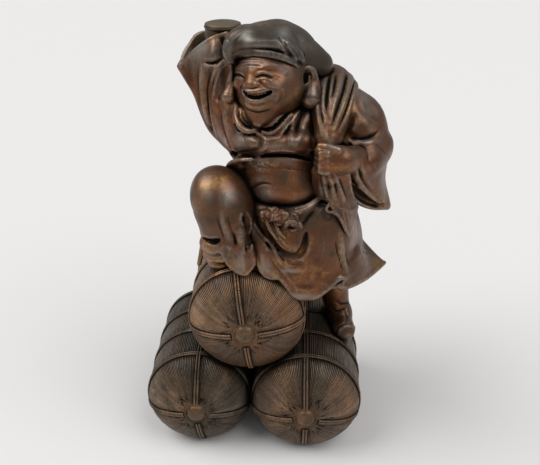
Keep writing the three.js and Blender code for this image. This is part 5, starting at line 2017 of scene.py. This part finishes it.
def add_ropes(block, radius, rope_angles):
    """Adds the bands round a bale and the ropes along it."""
    section = cord_section()
    for y in band_places:
        for side in (-1, 1):
            band_y = y + side * cord_gap
            reach = straw_radius(band_y, radius) - sunk
            ring = [(reach * math.sin(math.tau * i / cord_steps), band_y,
                     reach * math.cos(math.tau * i / cord_steps)) for i in range(cord_steps)]
            add_cord(block, ring, True, section)
    rows = bale_outline(radius)
    line = flat_curve(rows[rows[:, 0] > hub_radius + 0.4], 1.4)
    reach = line[:, 0] - sunk
    for angle in rope_angles:
        for side in (-1, 1):
            turn = math.radians(angle) + side * cord_gap / np.maximum(reach, hub_radius)
            path = np.column_stack([reach * np.sin(turn), line[:, 1], reach * np.cos(turn)])
            add_cord(block, path, False, section)
    bpy.data.objects.remove(section)


def flatten(block, radius):
    """Presses the flat into a bale on which it rests."""
    for point in block.verts:
        point.co.z = max(point.co.z, -axis_height(radius))


def rice_bale(name, axis, radius, rope_angles, material):
    """A bale round its axis, with its ropes. The angles are those of the ropes along it, in degrees."""
    block = straw_of(axis, radius, rope_angles)
    straw_count = len(block.verts)
    add_ropes(block, radius, rope_angles)
    if axis[2] == axis_height(radius):
        flatten(block, radius)
    place = np.array([point.co for point in block.verts])
    middle = Vector((axis[0] + origin[0], axis[1] + origin[1], axis[2])) * metre
    piece = piece_from_block(name, block, middle, material)
    pressed = near_rope(place, rope_angles)
    out = np.hypot(place[:, 0], place[:, 2])
    is_cord = np.arange(len(place)) >= straw_count
    on_button = (out < hub_radius + 0.2) & ~is_cord
    smooth = is_cord | on_button
    creased = -0.55 * pleats_at(place, axis)
    note(piece, "hollow", np.where(smooth, 0.0, np.maximum(0.5 * pressed, creased)))
    note(piece, "crest", np.where(is_cord, 0.74, np.where(on_button, 0.58, 0.5)))
    note(piece, "straw", np.where(smooth, 0.0, np.clip((out - hub_radius) / 6, 0, 1)))
    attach(piece, "root")
    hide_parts("rice_bales")
    piece.data.calc_loop_triangles()
    print(name, "has", len(piece.data.loop_triangles), "triangles")


rice_bale("left_bale", left_axis, left_radius, (2, 98, 175, 262), left_bronze)
rice_bale("right_bale", right_axis, right_radius, (-1, 103, 181, 262), right_bronze)
rice_bale("top_bale", top_axis, top_radius, (-9, 86, 175, 262), top_bronze)

# %% [markdown]
# ## Painted shade between the pieces
#
# Shade falls deep between parts and doesn't care where one block of clay ends, so it is painted from all
# blocks at once. All blocks and bales are put into one coarse grid, its solid cells are blurred, and each
# point reads how much of them lies round a spot a little way off its own surface. A point deep between knee
# and belly reads much and is painted dark, and one on the open belly reads little.

# %% How deep each point lies
def solid_cells(whole):
    """One for each cell of a grid that lies in a block of clay or in a bale, and zero for the others."""
    axes = [whole.low[k] + whole.cell * np.arange(whole.size[k]) for k in range(3)]
    x, y, z = np.meshgrid(*axes, indexing="ij")
    places = np.column_stack([x.ravel(), y.ravel(), z.ravel()]).astype(np.float32)
    solid = np.zeros(len(places), bool)
    for clay in blocks:
        high = clay.low + clay.cell * (clay.size - 2)
        inside = ((places > clay.low + clay.cell) & (places < high)).all(axis=1)
        cells = np.rint((places[inside] - clay.low) / clay.cell).astype(int)
        solid[inside] |= clay.field[tuple(cells.T)] < 0
    for axis, radius in ((left_axis, left_radius), (right_axis, right_radius), (top_axis, top_radius)):
        from_axis = np.hypot(places[:, 0] - axis[0], places[:, 2] + crown - axis[2])
        solid |= from_axis < straw_radius(places[:, 1] - axis[1], radius)
    return solid.reshape(whole.size).astype(np.float32)


whole = Clay((-90, -74, -crown), (106, 74, 156), 2.0)
look_off = 3.5
full = solid_cells(whole)
for _ in range(2):
    full = whole.blurred(4.0, full)
deepest = 0
meshes = [thing for thing in bpy.data.objects if thing.type == "MESH"]
# Points with much solid round them are painted dark, as shade.
for piece in [thing for thing in meshes if "upward" in thing.data.attributes]:
    places, normals = surface_of(piece)
    around = whole.read(full, places + normals * look_off)
    note(piece, "deep", np.clip((around - 0.27) / 0.33, 0, 1))
    deepest = max(deepest, around.max())
print("Deepest point:", round(float(deepest), 2), "of its surroundings are solid")

# %% [markdown]
# ## Marks of use, painted highlights and painted shade
#
# Some marks have nothing to do with the shape: where hands took hold the metal is golden, pale dabs are
# painted highlights where the lights catch it, and dark dabs are painted shade in gaps, creases and
# undersides. They are dabbed on at the places where the photograph shows them. A dab is the pixel of its
# middle, its half width, its half height and its strength, and it only marks what faces the camera there.

# %% Dabs of painted highlight, gold and painted shade
# Pale dabs are painted highlights, where the lights catch the metal.
pale_dabs = {
    "cap": [(248, 36, 4, 8, 0.7), (285, 32, 5, 7, 0.8), (228, 45, 3, 9, 0.3), (302, 45, 10, 6, 0.3),
            (266, 45.5, 13, 2.5, 0.35)],
    "head": [(250, 62, 15, 4, 0.3), (288, 75, 6, 7, 0.25), (313, 92, 2.5, 5, 0.5)],
    "robe": [(219, 74, 2, 11, 0.4), (246, 125, 3, 6, 0.3), (240, 140, 6, 5, 0.35), (303, 130, 3, 9, 0.3),
             (272, 145, 10, 3, 0.35), (275, 160, 28, 1.5, 0.35), (262, 196, 12, 5, 0.3),
             (196, 62, 7, 8, 0.2), (198, 44, 9, 12, 0.8)],
    "sack": [(353, 78, 4, 9, 0.5), (325, 85, 2, 14, 0.45), (341, 95, 2.5, 14, 0.4),
             (322, 188, 2, 10, 0.3)],
    "left_arm": [(366, 95, 9, 9, 0.5), (372, 110, 7, 7, 0.4), (368, 141, 10, 2.5, 0.5),
                 (338, 149, 8, 3, 0.4), (386, 180, 4, 20, 0.35), (354, 150, 2, 9, 0.3)],
    "right_leg": [(205, 190, 6, 9, 0.5), (226, 197, 5, 8, 0.5), (240, 264, 6, 8, 0.4),
                  (216, 254, 8, 4, 0.35)],
    "skirt": [(265, 268, 6, 7, 0.5), (298, 296, 13, 2, 0.55), (290, 271, 10, 1.8, 0.5),
              (341, 280, 5, 1.6, 0.5), (363, 232, 3, 14, 0.35), (253, 222, 1.5, 10, 0.4)],
}
gold_dabs = {
    "cap": [(258, 24, 17, 2.5, 0.7), (276, 27, 10, 2, 0.4)],
    "head": [(297, 96, 3, 7, 0.4), (262, 106, 9, 3, 0.35), (277, 94, 3, 5, 0.45), (290, 101, 6, 7, 0.3),
             (257, 73, 2.5, 3, 0.5), (234, 70, 3, 3, 0.5), (252, 81, 1.5, 4, 0.5)],
    "robe": [(214, 36, 8, 3, 0.4), (203, 84, 2.5, 20, 0.25), (300, 120, 3, 10, 0.3),
             (292, 205, 14, 2, 0.3)],
    "sack": [(335, 76, 2, 8, 0.6), (345, 92, 1.8, 20, 0.6), (349, 106, 2.5, 14, 0.35),
             (334, 190, 3, 9, 0.5)],
    "left_arm": [(320, 146, 6, 3, 0.5), (331, 154, 3, 4, 0.3), (352, 182, 7, 9, 0.5),
                 (376, 199, 8, 6, 0.6)],
    "right_leg": [(214, 182, 10, 6, 0.5), (199, 204, 5, 14, 0.25), (207, 253, 4, 3, 0.4),
                  (232, 262, 5, 7, 0.4)],
    "skirt": [(282, 236, 6, 8, 0.35), (340, 255, 3, 13, 0.5), (345, 272, 4, 6, 0.4),
              (376, 262, 7, 4, 0.6), (303, 291, 8, 3, 0.35), (275, 272, 4, 7, 0.3)],
    "top_bale": [(214, 303, 14, 13, 0.35), (264, 290, 18, 8, 0.35), (245, 360, 12, 5, 0.3)],
    "left_bale": [(196, 407, 4, 3, 0.9), (195, 431, 15, 5, 0.35)],
    "right_bale": [(300, 441, 15, 5, 0.35), (338, 352, 10, 8, 0.2)],
}
# Dark dabs are painted shade, in gaps, creases, undersides and the open mouth.
soot_dabs = {
    "cap": [(264, 36, 12, 6, 0.35), (262, 48.7, 18, 1.0, 0.6), (268, 54, 26, 4, 0.4),
            (293, 56, 3, 8, 0.5), (304, 65, 4, 5, 0.6), (322, 71, 9, 3, 0.5), (235, 47, 1.5, 8, 0.4)],
    "head": [(240, 108, 5, 3, 0.5), (301, 100, 2, 7, 0.5), (234, 66, 3, 3, 0.4), (305, 78, 3.5, 7, 0.75),
             (257, 97.8, 11, 1.6, 0.9), (270, 95, 2.4, 3.5, 0.8)],
    "robe": [(221, 48, 5, 12, 0.95), (223, 77, 4, 13, 0.95), (189, 78, 6, 16, 0.65),
             (210, 90, 2, 24, 0.6), (199, 100, 4, 16, 0.5), (262, 129, 15, 2, 0.6),
             (260.5, 142, 2.5, 5, 0.75), (235, 154, 6, 2.2, 0.75), (285, 156, 24, 1.6, 0.7),
             (312, 130, 3, 28, 0.85), (305, 109, 8, 3, 0.75), (239, 193, 5, 18, 0.8),
             (314, 185, 3, 20, 0.8), (233, 112, 2, 8, 0.5), (281, 126, 2, 8, 0.35)],
    "sack": [(327, 95, 1.4, 18, 0.8), (335, 84, 1.4, 11, 0.6), (320, 103, 1.3, 18, 0.7),
             (345, 86, 1.4, 10, 0.7), (340, 103, 1.4, 10, 0.7), (314, 120, 2.5, 26, 0.6),
             (318, 85, 3, 12, 0.5), (345, 134, 6, 8, 0.7), (318, 180, 2, 12, 0.6), (340, 124, 5, 10, 0.3),
             (326, 176, 8, 2, 0.5)],
    "left_arm": [(352, 134, 10, 5, 0.8), (366, 138, 10, 1.6, 0.7), (346, 173, 9, 2, 0.5),
                 (314, 158, 2.5, 9, 0.4), (356, 192, 6, 6, 0.45), (378, 165, 10, 14, 0.3)],
    "right_leg": [(246, 230, 4, 18, 0.65), (210, 240, 8, 2, 0.7), (240, 200, 4, 12, 0.4),
                  (226, 252, 2, 6, 0.4)],
    "skirt": [(322, 206, 9, 4, 0.6), (303, 217, 9, 4, 0.55), (261, 230, 5, 13, 0.85),
              (272, 245, 6, 5, 0.8), (290, 254, 13, 3, 0.8), (304, 243, 3, 9, 0.7),
              (305, 286, 9, 2.5, 0.6), (249, 236, 3, 20, 0.7), (318, 265, 12, 18, 0.25),
              (352, 262, 6, 12, 0.3)],
    "sash": [(280, 216, 26, 12, 0.25)],
    "left_boot": [(329, 310, 6, 13, 0.4), (338, 322, 3, 8, 0.2)],
    "left_bale": [(180, 312, 16, 12, 0.3), (232, 392, 6, 22, 0.4), (200, 372, 34, 12, 0.4)],
    "right_bale": [(320, 325, 11, 14, 0.6), (262, 400, 6, 22, 0.4), (296, 350, 16, 5, 0.5)],
    "top_bale": [(282, 310, 20, 6, 0.25), (228, 350, 24, 9, 0.15)],
}


def dab(name, all_dabs):
    """Writes the dabs of one kind to the pieces that have some, as a number on each point."""
    marked = 0
    for piece_name, dabs in all_dabs.items():
        piece = bpy.data.objects[piece_name]
        places, normals = surface_of(piece)
        u, v = pixels_of(places)
        facing = np.clip(((camera_place - places) * normals).sum(axis=1) / 100, 0, 1)
        mark = np.zeros(len(places))
        for middle_u, middle_v, half_wide, half_high, strength in dabs:
            away = ((u - middle_u) / half_wide) ** 2 + ((v - middle_v) / half_high) ** 2
            mark = np.maximum(mark, strength * np.exp(-0.7 * away))
        note(piece, name, mark * facing)
        marked += len(dabs)
    print(name, "dabs:", marked)


dab("pale", pale_dabs)
dab("gold", gold_dabs)
dab("soot", soot_dabs)

# %% [markdown]
# ## Floor and light
#
# The photograph has a plain white sweep, and two wide soft lights high at the left and at the right, with
# a darker gap between them that shows on the crown of the cap. A soft sun stands for each, so that the
# sweep is as bright far off as near.

# %% Floor and lights
def plain_floor():
    """A wide sheet of white paper under the bales."""
    half = 3.0
    block = bmesh.new()
    bmesh.ops.create_grid(block, x_segments=1, y_segments=1, size=half)
    mesh = bpy.data.meshes.new("floor")
    block.to_mesh(mesh)
    block.free()
    surface = bpy.data.objects.new("floor", mesh)
    bpy.context.scene.collection.objects.link(surface)
    paper = bpy.data.materials.new("white_paper")
    paper.use_nodes = True
    shader = paper.node_tree.nodes["Principled BSDF"]
    shader.inputs["Base Color"].default_value = (0.80, 0.785, 0.775, 1)
    shader.inputs["Roughness"].default_value = 0.9
    mesh.materials.append(paper)


def soft_light(name, towards, spread, strength):
    """A wide light so far off that it lights the whole sweep alike. The spread is its width in degrees."""
    data = bpy.data.lights.new(name, "SUN")
    data.angle = math.radians(spread)
    data.energy = strength
    light = bpy.data.objects.new(name, data)
    bpy.context.scene.collection.objects.link(light)
    light.rotation_euler = Vector(towards).to_track_quat("Z", "Y").to_euler()


plain_floor()
soft_light("left_light", (-0.66, -0.08, 0.79), 46, 1.70)
soft_light("right_light", (0.50, -0.30, 0.81), 46, 1.17)
world = bpy.data.worlds.new("studio")
bpy.context.scene.world = world
world.use_nodes = True
sky = world.node_tree.nodes["Background"]
sky.inputs["Color"].default_value = (0.96, 0.98, 1.0, 1)
sky.inputs["Strength"].default_value = 0.36
bpy.context.scene.view_settings.view_transform = "Standard"
print("The sweep and two lights are set")
